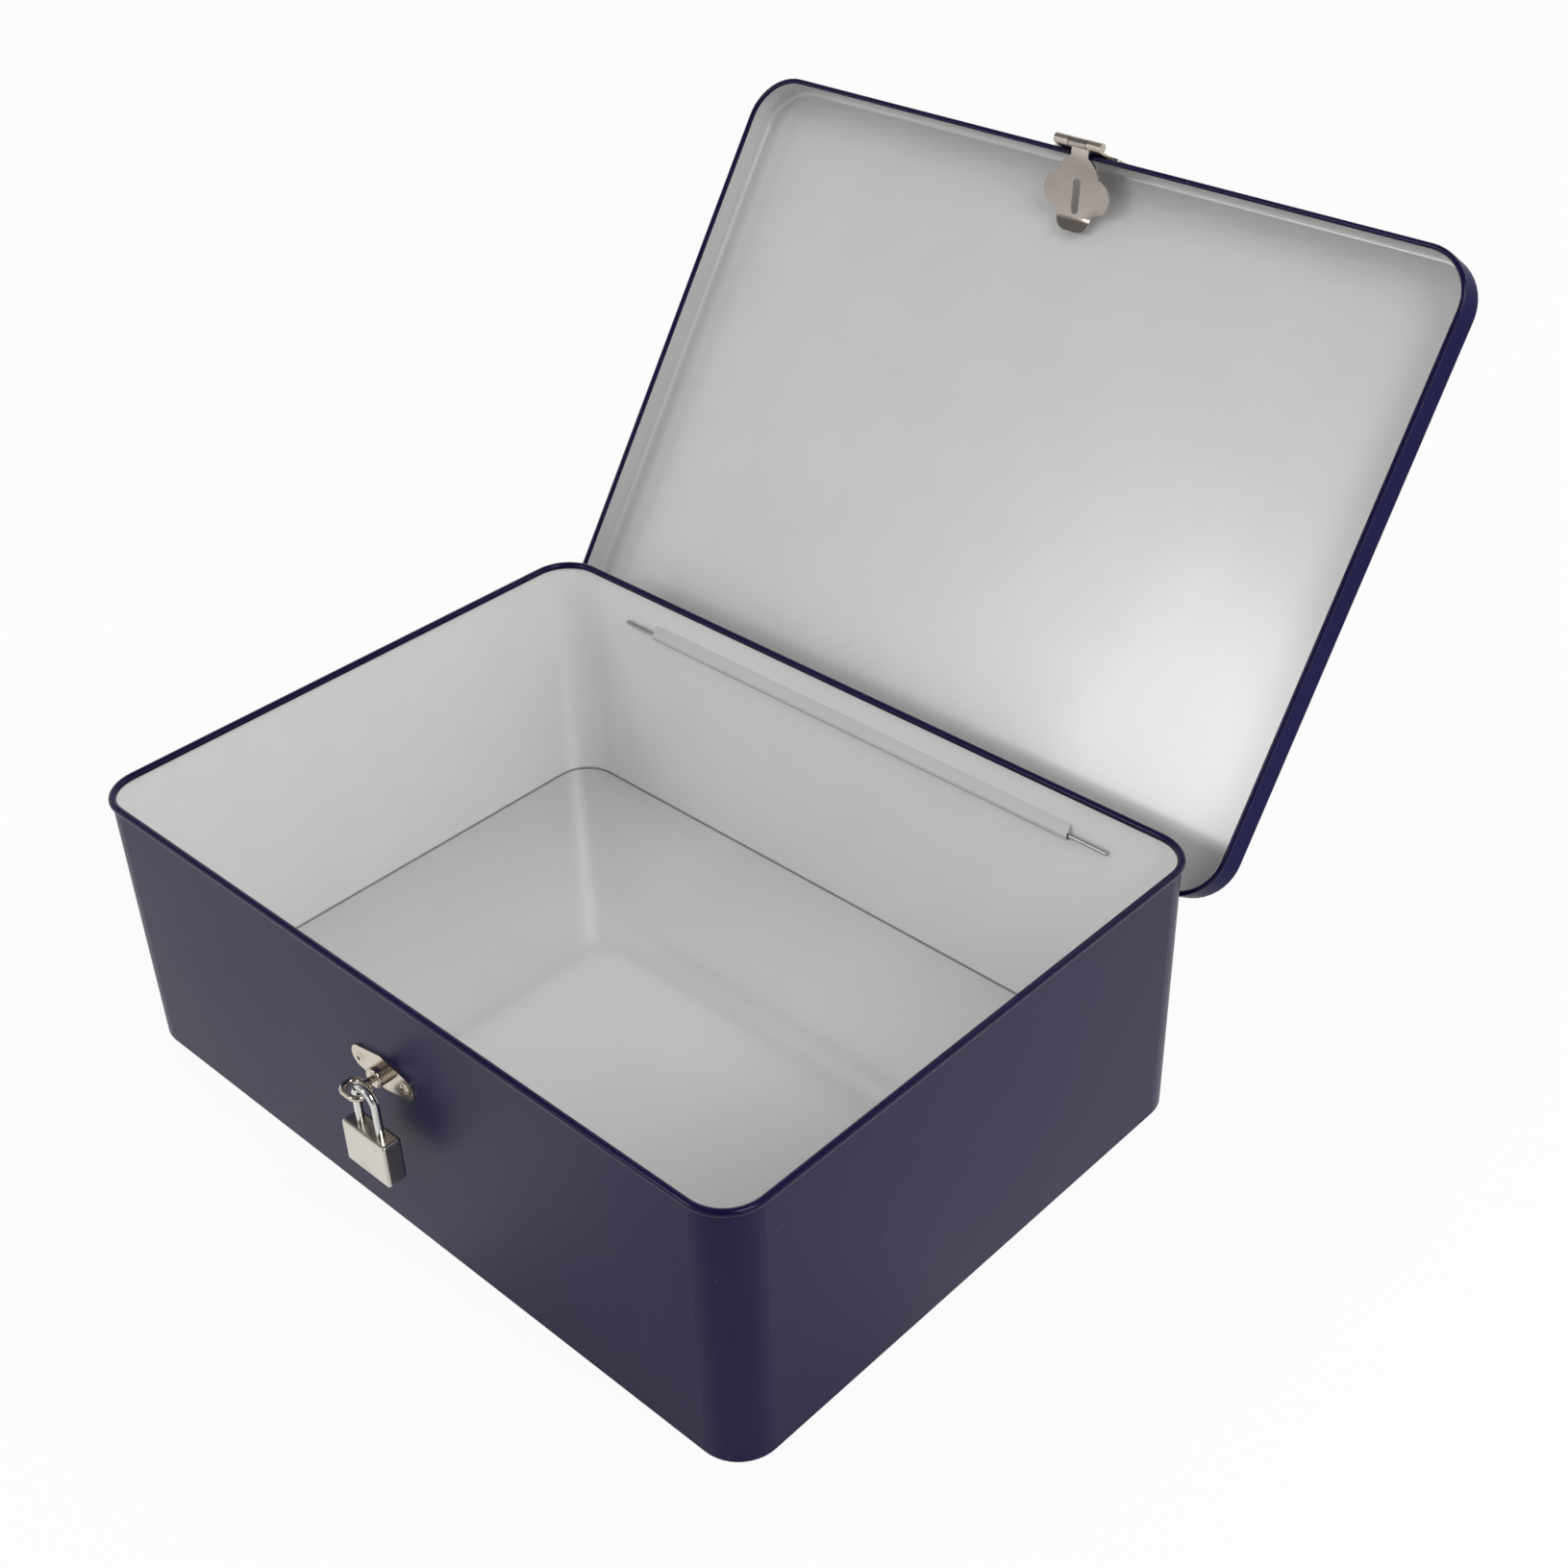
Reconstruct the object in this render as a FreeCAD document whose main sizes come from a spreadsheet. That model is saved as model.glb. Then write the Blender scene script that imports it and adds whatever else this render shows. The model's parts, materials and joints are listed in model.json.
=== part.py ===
import FreeCAD, Part
import math
import os
import re
from types import SimpleNamespace

import Sketcher
from FreeCAD import Placement, Rotation, Vector

# Lockable tin box: lacquered tinplate body and lid on a wire hinge, nickel hasp, turning staple and padlock.
# Millimetres. Origin at the centre of the base underside, +X right, +Y to the back, +Z up.
# The pieces stand as in use with the lid open: the lid is drawn shut and then turned back on its hinge.

# Driving sizes
SIZES = {
    "body_width": 286.0,
    "body_depth": 206.0,
    "body_height": 98.5,
    "corner_radius": 14.0,
    "sheet_gauge": 0.3,
    "rim_curl_radius": 1.25,
    "rim_overhang": 1.0,
    "curl_slit": 0.25,
    "hem_fit": 0.03,
    "hem_height": 2.6,
    "floor_height": 4.6,
    "floor_edge_radius": 0.6,
    "seam_width": 0.4,
    "seam_depth": 0.1,
    "seam_margin": 6.0,
    "wire_diameter": 1.6,
    "wire_length": 220.0,
    "hinge_depth": 16.5,
    "channel_length": 190.0,
    "tongue_side_gap": 1.5,
    "tongue_stop_angle": 70.0,
    "running_fit": 0.05,
    "swing_clearance": 0.35,
    "stop_gap": 0.3,
    "lid_curl_radius": 0.9,
    "rim_clearance": 0.4,
    "lid_seat_gap": 0.35,
    "lid_edge_radius": 2.4,
    "lid_open_angle": 124.3,
    "hasp_gauge": 0.8,
    "hasp_pin_radius": 0.8,
    "hasp_drop": 4.4,
    "hasp_width": 19.0,
    "hasp_ear_offset": 10.4,
    "hasp_ear_radius": 4.1,
    "hasp_dome_radius": 5.2,
    "hasp_rivet_rise": 4.7,
    "hasp_notch_rise": 3.6,
    "neck_width": 7.0,
    "knuckle_gap": 0.3,
    "leaf_slot_drop": 18.0,
    "leaf_crown_radius": 8.2,
    "leaf_crown_rise": 5.8,
    "leaf_lobe_offset": 7.0,
    "leaf_lobe_radius": 6.3,
    "leaf_lobe_rise": 1.0,
    "leaf_tab_start": 24.5,
    "leaf_tab_length": 5.0,
    "leaf_tab_curl": 1.5,
    "leaf_tab_width": 13.4,
    "leaf_tab_corner": 4.4,
    "leaf_slot_length": 12.0,
    "leaf_slot_width": 3.0,
    "leaf_shut_tilt": 6.5,
    "leaf_rest_gap": 0.4,
    "leaf_rest_lean": 5.0,
    "rivet_head_radius": 2.0,
    "rivet_head_height": 0.8,
    "rivet_shank_radius": 1.0,
    "rivet_bore_radius": 0.7,
    "rivet_bore_depth": 1.0,
    "rivet_tail_radius": 1.6,
    "rivet_tail_height": 0.45,
    "washer_radius": 2.6,
    "washer_gauge": 0.4,
    "staple_ear_offset": 10.3,
    "staple_ear_radius": 4.2,
    "staple_disc_radius": 6.4,
    "boss_radius": 3.4,
    "boss_edge_radius": 0.8,
    "ring_wire_radius": 1.0,
    "ring_half_width": 4.2,
    "ring_half_depth": 3.0,
    "ring_corner": 2.6,
    "stem_radius": 1.1,
    "keeper_radius": 3.0,
    "keeper_gauge": 0.6,
    "keeper_play": 0.3,
    "shackle_wire_radius": 1.3,
    "shackle_half_width": 4.55,
    "shackle_height": 16.5,
    "shackle_hang_gap": 0.1,
    "shackle_bore_fit": 0.1,
    "toe_depth": 5.0,
    "heel_depth": 9.6,
    "case_width": 20.0,
    "case_height": 16.0,
    "case_thickness": 7.0,
    "case_edge_radius": 1.1,
    "bore_end_gap": 0.4,
    "spring_height": 2.6,
    "spring_wire": 0.5,
    "plug_offset": 2.0,
    "plug_radius": 2.1,
    "plug_height": 8.6,
    "keyway_width": 1.0,
    "keyway_length": 3.0,
    "keyway_depth": 6.0,
    "cover_flange": 0.6,
    "cover_gauge": 0.8,
    "latch_length": 3.8,
    "latch_width": 2.0,
    "latch_height": 1.6,
    "latch_drop": 2.4,
    "latch_travel": 1.0,
    "latch_notch_depth": 1.0,
    "latch_fit": 0.3,
    "heel_pin_radius": 0.6,
    "heel_pin_drop": 3.0,
    "heel_flat_depth": 0.9,
}

# Sizes that follow from the driving sizes
DERIVED = {
    "half_width": "body_width / 2",
    "half_depth": "body_depth / 2",
    "hem_width": "3 * sheet_gauge + 2 * hem_fit",
    "pan_half_width": "half_width - sheet_gauge - hem_fit",
    "pan_half_depth": "half_depth - sheet_gauge - hem_fit",
    "pan_corner": "corner_radius - sheet_gauge - hem_fit",
    "pan_hollow_width": "pan_half_width - sheet_gauge",
    "pan_hollow_depth": "pan_half_depth - sheet_gauge",
    "pan_hollow_corner": "pan_corner - sheet_gauge",
    "pan_base": "sheet_gauge + hem_fit",
    "wire_radius": "wire_diameter / 2",
    "hinge_inset": "sheet_gauge + wire_radius",
    "hinge_y": "half_depth - hinge_inset",
    "hinge_z": "body_height - hinge_depth",
    "tongue_inner": "wire_radius + running_fit",
    "tongue_outer": "tongue_inner + sheet_gauge",
    "tongue_angle": "lid_open_angle - tongue_stop_angle",
    "channel_radius": "tongue_outer + swing_clearance",
    "lid_overhang": "rim_overhang + rim_clearance + 2 * lid_curl_radius",
    "curl_reach": "hinge_inset + lid_overhang - lid_curl_radius",
    "stop_reach": "hinge_inset + lid_curl_radius + stop_gap",
    "lid_curl_rise": "(stop_reach - curl_reach * cos(lid_open_angle)) / sin(lid_open_angle)",
    "lid_rim_base": "hinge_z + lid_curl_rise - lid_curl_radius",
    "lid_top": "body_height + lid_seat_gap + sheet_gauge",
    "hasp_face": "half_depth + lid_overhang",
    "knuckle_inner": "hasp_pin_radius + running_fit",
    "knuckle_radius": "knuckle_inner + hasp_gauge",
    "hasp_axis_out": "hasp_face + knuckle_radius",
    "hasp_axis_z": "lid_rim_base - hasp_drop",
    "hasp_half_width": "hasp_width / 2",
    "hasp_rivet_z": "lid_rim_base + hasp_rivet_rise",
    "hasp_ear_top": "hasp_rivet_z + hasp_ear_radius",
    "hasp_ear_base": "hasp_rivet_z - hasp_ear_radius",
    "notch_half_width": "neck_width / 2 + knuckle_gap",
    "notch_top": "hasp_axis_z + hasp_notch_rise",
    "notch_base": "hasp_axis_z - 2 * knuckle_radius",
    "leaf_front": "knuckle_radius - hasp_gauge",
    "leaf_length": "leaf_tab_start + leaf_tab_length",
    "leaf_crown_drop": "leaf_slot_drop - leaf_crown_rise",
    "leaf_lobe_drop": "leaf_slot_drop - leaf_lobe_rise",
    "tab_half_width": "leaf_tab_width / 2",
    "tab_front": "leaf_front - leaf_tab_curl",
    "tab_back": "knuckle_radius - leaf_tab_curl",
    "slot_half_width": "leaf_slot_width / 2",
    "slot_top": "leaf_slot_drop - leaf_slot_length / 2 + slot_half_width",
    "slot_base": "leaf_slot_drop + leaf_slot_length / 2 - slot_half_width",
    "leaf_middle": "knuckle_radius - hasp_gauge / 2",
    "staple_z": "hasp_axis_z - leaf_slot_drop * cos(leaf_shut_tilt) - leaf_middle * sin(leaf_shut_tilt)",
    "staple_face": "half_depth + hasp_gauge",
    "staple_ear_top": "staple_z + staple_ear_radius",
    "staple_ear_base": "staple_z - staple_ear_radius",
    "staple_top": "staple_z + staple_disc_radius",
    "staple_base": "staple_z - staple_disc_radius",
    "slot_swing": "leaf_slot_drop * sin(leaf_shut_tilt)",
    "shut_back": "hasp_axis_out - knuckle_radius * cos(leaf_shut_tilt) + slot_swing",
    "shut_front": "hasp_axis_out - leaf_front * cos(leaf_shut_tilt) + slot_swing",
    "boss_top": "shut_back - boss_radius * tan(leaf_shut_tilt) - swing_clearance",
    "boss_rise": "boss_top - half_depth",
    "ring_back": "shut_front + ring_wire_radius * tan(leaf_shut_tilt) + swing_clearance",
    "ring_middle": "ring_back + ring_wire_radius + ring_half_depth",
    "rivet_hole": "rivet_shank_radius",
    "stem_hole": "stem_radius + running_fit",
    "keeper_back": "half_depth - sheet_gauge - keeper_play - keeper_gauge",
    "shackle_inner": "shackle_half_width - shackle_wire_radius",
    "arch_z": "staple_z + ring_wire_radius + shackle_hang_gap - shackle_inner",
    "case_top": "arch_z + shackle_half_width + shackle_wire_radius - shackle_height",
    "case_base": "case_top - case_height",
    "case_left": "ring_half_width - case_width / 2",
    "case_right": "ring_half_width + case_width / 2",
    "toe_x": "ring_half_width - shackle_half_width",
    "heel_x": "ring_half_width + shackle_half_width",
    "bore_radius": "shackle_wire_radius + shackle_bore_fit",
    "toe_bore_depth": "toe_depth + bore_end_gap",
    "heel_bore_depth": "heel_depth + spring_height + bore_end_gap",
    "plug_x": "ring_half_width - plug_offset",
    "plug_bore": "plug_radius + running_fit",
    "plug_bore_height": "plug_height + bore_end_gap",
    "cover_radius": "plug_bore + cover_flange",
    "latch_top": "case_top - latch_drop",
    "latch_base": "latch_top - latch_height",
    "latch_tip": "toe_x + bore_radius + latch_fit",
    "latch_end": "latch_tip + latch_length",
    "slot_room_left": "toe_x",
    "slot_room_right": "latch_end + latch_fit",
    "slot_room_top": "latch_top + latch_fit",
    "slot_room_base": "latch_base - latch_fit",
    "slot_room_width": "latch_width + 2 * latch_fit",
    "heel_pin_x": "heel_x + shackle_wire_radius",
    "heel_pin_z": "case_top - heel_pin_drop",
}

X_AXIS = Vector(1, 0, 0)
Z_AXIS = Vector(0, 0, 1)
TO_FRONT = Rotation(X_AXIS, 90)
TO_BACK = Rotation(X_AXIS, -90)
ALONG_X = Rotation(Vector(0, 1, 0), 90)

os.makedirs("parts", exist_ok=True)
doc = FreeCAD.newDocument("tin_box")
sheet = doc.addObject("Spreadsheet::Sheet", "sizes")


def fill_sheet():
    """Write the driving and derived sizes and return their values."""
    rows = [(name, str(number)) for name, number in SIZES.items()]
    rows += [(name, "=" + formula) for name, formula in DERIVED.items()]
    for row, (name, text) in enumerate(rows, 1):
        sheet.set(f"A{row}", name)
        sheet.set(f"B{row}", text)
        sheet.setAlias(f"B{row}", name)
    doc.recompute()
    return SimpleNamespace(**{name: float(getattr(sheet, name)) for name, _ in rows})


S = fill_sheet()
ALIAS = re.compile(r"\b(" + "|".join(list(SIZES) + list(DERIVED)) + r")\b")


def link(formula):
    """Point each size named in a formula at its cell in the sheet."""
    return ALIAS.sub(r"sizes.\1", formula)


def number(term):
    """Value of a size name, which may carry a minus sign."""
    if term == "0":
        return 0.0
    return -getattr(S, term[1:]) if term.startswith("-") else getattr(S, term)


# Flat outlines, drawn with the first coordinate along +X and the second along +Z

def flat(points):
    """Face bounded by straight lines."""
    corners = [Vector(u, 0, z) for u, z in points]
    return Part.Face(Part.makePolygon(corners + corners[:1]))


def rect(u0, z0, u1, z1):
    """Upright rectangle."""
    return flat([(u0, z0), (u1, z0), (u1, z1), (u0, z1)])


def disc(u, z, radius):
    """Round face."""
    return Part.Face(Part.Wire(Part.makeCircle(radius, Vector(u, 0, z), Vector(0, -1, 0))))


def tube(u, z, outer, gauge):
    """Round tube section."""
    return disc(u, z, outer).cut(disc(u, z, outer - gauge))


def merge(faces):
    """One face from touching faces, taken off the end of a fused slab."""
    slabs = [face.extrude(Vector(0, 1, 0)) for face in faces]
    slab = slabs[0].multiFuse(slabs[1:]).removeSplitter()
    return next(face for face in slab.Faces if face.BoundBox.YMax < 0.5)


def sweep_round(face, half_width, half_depth, radius):
    """Carry an outline round a rounded rectangle, with its first coordinate pointing outwards."""
    pieces = []
    for turn in range(4):
        angle = math.radians(90 * turn)
        out = Vector(math.cos(angle), math.sin(angle), 0)
        along = Vector(-out.y, out.x, 0)
        reach, run = (half_width, half_depth) if turn % 2 == 0 else (half_depth, half_width)
        run = run - radius
        side = face.copy()
        side.rotate(Vector(), Z_AXIS, 90 * turn)
        corner = side.copy()
        side.translate(out * reach - along * run)
        pieces.append(side.extrude(along * (2 * run)))
        corner.translate(out * reach + along * run)
        pieces.append(corner.revolve(out * (reach - radius) + along * run, Z_AXIS, 90))
    return pieces[0].multiFuse(pieces[1:]).removeSplitter()


def round_plate(half_width, half_depth, radius, base, height):
    """Rounded rectangular plate."""
    block = Part.makeBox(2 * half_width, 2 * half_depth, height, Vector(-half_width, -half_depth, base))
    upright = [e for e in block.Edges if abs(e.tangentAt(e.FirstParameter).z) > 0.5]
    return block.makeFillet(radius, upright)


def along_hinge(face, length):
    """Carry an outline about the hinge wire along the wire."""
    prism = face.copy()
    prism.rotate(Vector(), Z_AXIS, 90)
    prism.translate(Vector(-length / 2, S.hinge_y, S.hinge_z))
    return prism.extrude(Vector(length, 0, 0))


def front_hole(shape, radius, x, z):
    """Drill from the front, through the front wall only."""
    start = Vector(x, -S.half_depth - 2 * S.hasp_face / 10, z)
    return shape.cut(Part.makeCylinder(radius, 2 * S.hasp_face / 10 + S.lid_overhang, start, Vector(0, 1, 0)))


def feature(name, shape, placement=None):
    """Keep a formed sheet or wire piece as a document object."""
    piece = doc.addObject("Part::Feature", name)
    piece.Label = name
    piece.Shape = shape
    if placement is not None:
        piece.Placement = placement
    return piece


# Sketch and solid helpers

def new_body(name):
    """Empty body with the piece's name."""
    body = doc.addObject("PartDesign::Body", name)
    body.Label = name
    return body


def new_sketch(body, plane, offset=None):
    """Sketch on one of the body's origin planes, moved along the plane's normal."""
    support = next(f for f in body.Origin.OriginFeatures if f.Role == plane)
    sketch = body.newObject("Sketcher::SketchObject", body.Name + "_sketch")
    sketch.AttachmentSupport = [(support, "")]
    sketch.MapMode = "FlatFace"
    if offset is not None:
        sketch.setExpression("AttachmentOffset.Base.z", link(offset))
    return sketch


def pin_point(sketch, item, point, spot):
    """Tie one point of a sketch to sizes in the sheet."""
    for kind, axis, term in (("DistanceX", -2, spot[0]), ("DistanceY", -1, spot[1])):
        if term == "0":
            sketch.addConstraint(Sketcher.Constraint("PointOnObject", item, point, axis))
            continue
        index = sketch.addConstraint(Sketcher.Constraint(kind, -1, 1, item, point, number(term)))
        sketch.setExpression(f"Constraints[{index}]", link(term))


def draw_polygon(sketch, spots):
    """Closed outline through points named by sizes."""
    corners = [Vector(number(u), number(v), 0) for u, v in spots]
    ends = corners[1:] + corners[:1]
    items = [sketch.addGeometry(Part.LineSegment(a, b)) for a, b in zip(corners, ends)]
    for item, following in zip(items, items[1:] + items[:1]):
        sketch.addConstraint(Sketcher.Constraint("Coincident", item, 2, following, 1))
    for item, spot in zip(items, spots):
        pin_point(sketch, item, 1, spot)


def draw_box(sketch, left, low, right, high):
    """Rectangle between sizes."""
    draw_polygon(sketch, [(left, low), (right, low), (right, high), (left, high)])


def draw_circle(sketch, spot, radius):
    """Circle about a point named by sizes."""
    centre = Vector(number(spot[0]), number(spot[1]), 0)
    item = sketch.addGeometry(Part.Circle(centre, Z_AXIS, number(radius)))
    pin_point(sketch, item, 3, spot)
    index = sketch.addConstraint(Sketcher.Constraint("Radius", item, number(radius)))
    sketch.setExpression(f"Constraints[{index}]", link(radius))


def raise_sketch(body, kind, sketch, length, both_ways=False, reverse=False):
    """Pad or pocket a sketch by a length named in the sheet."""
    step = body.newObject("PartDesign::" + kind, body.Name + "_" + kind.lower())
    step.Profile = sketch
    step.setExpression("Length", link(length))
    if both_ways:
        step.SideType = "Symmetric"
    step.Reversed = reverse
    doc.recompute()
    return step


def round_edges(body, test, radius):
    """Fillet the edges of the body that pass a test."""
    tip = body.Tip
    names = [f"Edge{i}" for i, edge in enumerate(tip.Shape.Edges, 1) if test(edge)]
    step = body.newObject("PartDesign::Fillet", body.Name + "_fillet")
    step.Base = (tip, names)
    step.setExpression("Radius", link(radius))
    doc.recompute()
    return step


def is_upright(edge):
    """True for a straight edge along Z."""
    return isinstance(edge.Curve, Part.Line) and abs(edge.Curve.Direction.z) > 0.99


def primitive(kind, name, **formulas):
    """Solid primitive with its sizes tied to the sheet."""
    solid = doc.addObject("Part::" + kind, name)
    for size, formula in formulas.items():
        solid.setExpression(size, link(formula))
    return solid


def cylinder(name, radius, height, base, turn=Rotation()):
    """Round bar from a base point."""
    bar = primitive("Cylinder", name, Radius=radius, Height=height)
    bar.Placement = Placement(base, turn)
    return bar


def dome(name, radius, height, base, turn):
    """Rivet dome on a base plane, rising along the turned Z axis."""
    ball = f"(({radius}^2 + {height}^2) / (2 * {height}))"
    cap = primitive("Sphere", name, Radius=ball, Angle1=f"asin(1 - {height} / {ball})")
    full = (number(radius) ** 2 + number(height) ** 2) / (2 * number(height))
    cap.Placement = Placement(base + turn.multVec(Vector(0, 0, number(height) - full)), turn)
    return cap


def joined(kind, name, pieces):
    """Fuse, or group, several solids under one name."""
    whole = doc.addObject("Part::" + kind, name)
    whole.Label = name
    if kind == "Compound":
        whole.Links = pieces
    else:
        whole.Shapes = pieces
    doc.recompute()
    return whole


def cut_away(name, solid, tool):
    """Solid with a tool taken out of it."""
    left = doc.addObject("Part::Cut", name)
    left.Label = name
    left.Base = solid
    left.Tool = tool
    doc.recompute()
    return left


# Box body

def curl_slit(u, z, radius, side):
    """Narrow slit where the edge of a curled sheet ends."""
    return rect(u, z - S.curl_slit, u + side * 2 * radius, z)


def wall_outline():
    """Section of the body wall: bottom hem, wall and rolled rim."""
    gauge, hem = S.sheet_gauge, S.hem_width
    rim_u = S.rim_overhang - S.rim_curl_radius
    rim_z = S.body_height - S.rim_curl_radius
    middle = S.rim_curl_radius - gauge / 2
    strip_top = rim_z - math.sqrt(middle ** 2 - (rim_u + gauge / 2) ** 2)
    outer_bend = disc(-gauge, gauge, gauge).common(rect(-gauge, 0, 0, gauge))
    inner_bend = disc(gauge - hem, gauge, gauge).common(rect(-hem, 0, gauge - hem, gauge))
    base = rect(gauge - hem, 0, -gauge, gauge)
    lip = rect(-hem, gauge, gauge - hem, S.hem_height)
    strip = rect(-gauge, gauge, 0, strip_top)
    curl = tube(rim_u, rim_z, S.rim_curl_radius, gauge)
    curl = curl.cut(curl_slit(rim_u, rim_z, S.rim_curl_radius, -1))
    return merge([strip, outer_bend, base, inner_bend, lip, curl])


def channel_outline(margin, reach):
    """Section of the pressed hinge channel about the wire."""
    radius = S.channel_radius + margin
    lean = math.radians(S.tongue_angle)
    foot = (-radius * math.sin(lean), radius * math.cos(lean))
    top = foot[1] + (reach - foot[0]) * math.tan(lean)
    slope = flat([(0, -radius), (reach, -radius), (reach, top), foot, (0, 0)])
    return merge([disc(0, 0, radius), slope])


def make_body_wall():
    """Body wall with its hinge channel, lap seam and staple holes."""
    wall = sweep_round(wall_outline(), S.half_width, S.half_depth, S.corner_radius)
    groove = along_hinge(channel_outline(0, S.hinge_inset + S.lid_overhang), S.channel_length)
    skin = along_hinge(channel_outline(S.sheet_gauge, S.hinge_inset), S.channel_length)
    wall = wall.cut(groove).fuse(skin.cut(groove)).removeSplitter()
    seam_x = S.half_width - S.corner_radius - S.seam_margin
    seam_z = S.hem_height
    seam_rise = S.body_height - 2 * S.rim_curl_radius - S.hem_height
    corner = Vector(seam_x, S.half_depth - S.seam_depth, seam_z)
    wall = wall.cut(Part.makeBox(S.seam_width, 2 * S.seam_depth, seam_rise, corner))
    for side in (-1, 1):
        wall = front_hole(wall, S.rivet_hole, side * S.staple_ear_offset, S.staple_z)
    wall = front_hole(wall, S.stem_hole, 0, S.staple_z)
    return feature("body_wall", wall)


def make_bottom_pan():
    """Floor panel with a turned-down flange."""
    body = new_body("bottom_pan")
    outline = new_sketch(body, "XY_Plane", "pan_base")
    draw_box(outline, "-pan_half_width", "-pan_half_depth", "pan_half_width", "pan_half_depth")
    raise_sketch(body, "Pad", outline, "floor_height - pan_base")
    round_edges(body, is_upright, "pan_corner")
    round_edges(body, lambda e: e.BoundBox.ZMin > S.floor_height - 1e-6, "floor_edge_radius")
    hollow = doc.addObject("Part::Feature", "pan_hollow")
    hollow.Shape = round_plate(S.pan_hollow_width, S.pan_hollow_depth, S.pan_hollow_corner,
                               0, S.floor_height - S.sheet_gauge)
    return cut_away("bottom_pan_sheet", body, hollow)


def make_hinge_wire():
    """Straight hinge wire."""
    start = Vector(-S.wire_length / 2, S.hinge_y, S.hinge_z)
    return cylinder("hinge_wire", "wire_radius", "wire_length", start, ALONG_X)


# Lid

def lid_outline():
    """Section of the lid from its curled edge to the start of the panel."""
    gauge, over, bend = S.sheet_gauge, S.lid_overhang, S.lid_edge_radius
    curl_u = over - S.lid_curl_radius
    curl_z = S.lid_rim_base + S.lid_curl_radius
    curl = tube(curl_u, curl_z, S.lid_curl_radius, gauge)
    curl = curl.cut(curl_slit(curl_u, curl_z + S.curl_slit, S.lid_curl_radius, -1))
    skirt = rect(over - gauge, curl_z, over, S.lid_top - bend)
    centre_z = S.lid_top - bend
    edge = tube(over - bend, centre_z, bend, gauge).common(rect(over - bend, centre_z, over, S.lid_top))
    return merge([skirt, curl, edge])


def tongue_outline():
    """Section of the tongue that rolls round the hinge wire, and the height where it meets the skirt."""
    lean = math.radians(S.tongue_angle)
    across = Vector(-math.sin(lean), 0, math.cos(lean))
    reach = S.hinge_inset + S.lid_overhang
    corners = []
    for radius in (S.tongue_inner, S.tongue_outer):
        start = across * radius
        end_z = start.z + (reach - start.x) * math.tan(lean)
        corners.append([(start.x, start.z), (reach, end_z)])
    strap = flat([corners[0][0], corners[0][1], corners[1][1], corners[1][0]])
    return merge([tube(0, 0, S.tongue_outer, S.sheet_gauge), strap]), corners[0][1][1]


def make_lid_shell():
    """Drawn lid with curled edge, hinge tongue and rivet holes."""
    shell = sweep_round(lid_outline(), S.half_width, S.half_depth, S.corner_radius)
    inset = S.lid_overhang - S.lid_edge_radius
    panel = round_plate(S.half_width + inset, S.half_depth + inset, S.corner_radius + inset,
                        S.lid_top - S.sheet_gauge, S.sheet_gauge)
    shell = shell.fuse(panel).removeSplitter()
    outline, join_rise = tongue_outline()
    notch_low = S.lid_rim_base - S.lid_curl_radius
    notch_rise = S.hinge_z + join_rise - notch_low
    notch_y = S.half_depth + S.rim_overhang
    corner = Vector(-S.channel_length / 2, notch_y, notch_low)
    shell = shell.cut(Part.makeBox(S.channel_length, 2 * S.lid_overhang, notch_rise, corner))
    shell = shell.fuse(along_hinge(outline, S.channel_length - 2 * S.tongue_side_gap)).removeSplitter()
    for side in (-1, 1):
        shell = front_hole(shell, S.rivet_hole, side * S.hasp_ear_offset, S.hasp_rivet_z)
    return feature("lid_shell", shell, lid_opened())


def lid_opened():
    """Turn of the lid from shut to open about the hinge wire."""
    return Placement(Vector(), Rotation(X_AXIS, -S.lid_open_angle), Vector(0, S.hinge_y, S.hinge_z))


def make_hasp_plate():
    """Upper hasp plate with ears, dome and two knuckles."""
    body = new_body("hasp_plate")
    strip = new_sketch(body, "XZ_Plane", "hasp_face")
    draw_box(strip, "-hasp_half_width", "hasp_axis_z", "hasp_half_width", "hasp_rivet_z")
    raise_sketch(body, "Pad", strip, "hasp_gauge")
    bar = new_sketch(body, "XZ_Plane", "hasp_face")
    draw_box(bar, "-hasp_ear_offset", "hasp_ear_base", "hasp_ear_offset", "hasp_ear_top")
    raise_sketch(body, "Pad", bar, "hasp_gauge")
    ears = new_sketch(body, "XZ_Plane", "hasp_face")
    for side in ("", "-"):
        draw_circle(ears, (side + "hasp_ear_offset", "hasp_rivet_z"), "hasp_ear_radius")
    raise_sketch(body, "Pad", ears, "hasp_gauge")
    crown = new_sketch(body, "XZ_Plane", "hasp_face")
    draw_circle(crown, ("0", "hasp_rivet_z"), "hasp_dome_radius")
    raise_sketch(body, "Pad", crown, "hasp_gauge")
    barrel = new_sketch(body, "YZ_Plane")
    draw_circle(barrel, ("-hasp_axis_out", "hasp_axis_z"), "knuckle_radius")
    raise_sketch(body, "Pad", barrel, "hasp_width", both_ways=True)
    notch = new_sketch(body, "XZ_Plane", "hasp_axis_out")
    draw_box(notch, "-notch_half_width", "notch_base", "notch_half_width", "notch_top")
    raise_sketch(body, "Pocket", notch, "8 * knuckle_radius", both_ways=True)
    bore = new_sketch(body, "YZ_Plane")
    draw_circle(bore, ("-hasp_axis_out", "hasp_axis_z"), "knuckle_inner")
    raise_sketch(body, "Pocket", bore, "2 * hasp_width", both_ways=True)
    holes = new_sketch(body, "XZ_Plane", "hasp_face")
    for side in ("", "-"):
        draw_circle(holes, (side + "hasp_ear_offset", "hasp_rivet_z"), "rivet_hole")
    raise_sketch(body, "Pocket", holes, "8 * hasp_gauge", both_ways=True)
    body.Placement = lid_opened()
    return body


# Rivets and washers

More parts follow.
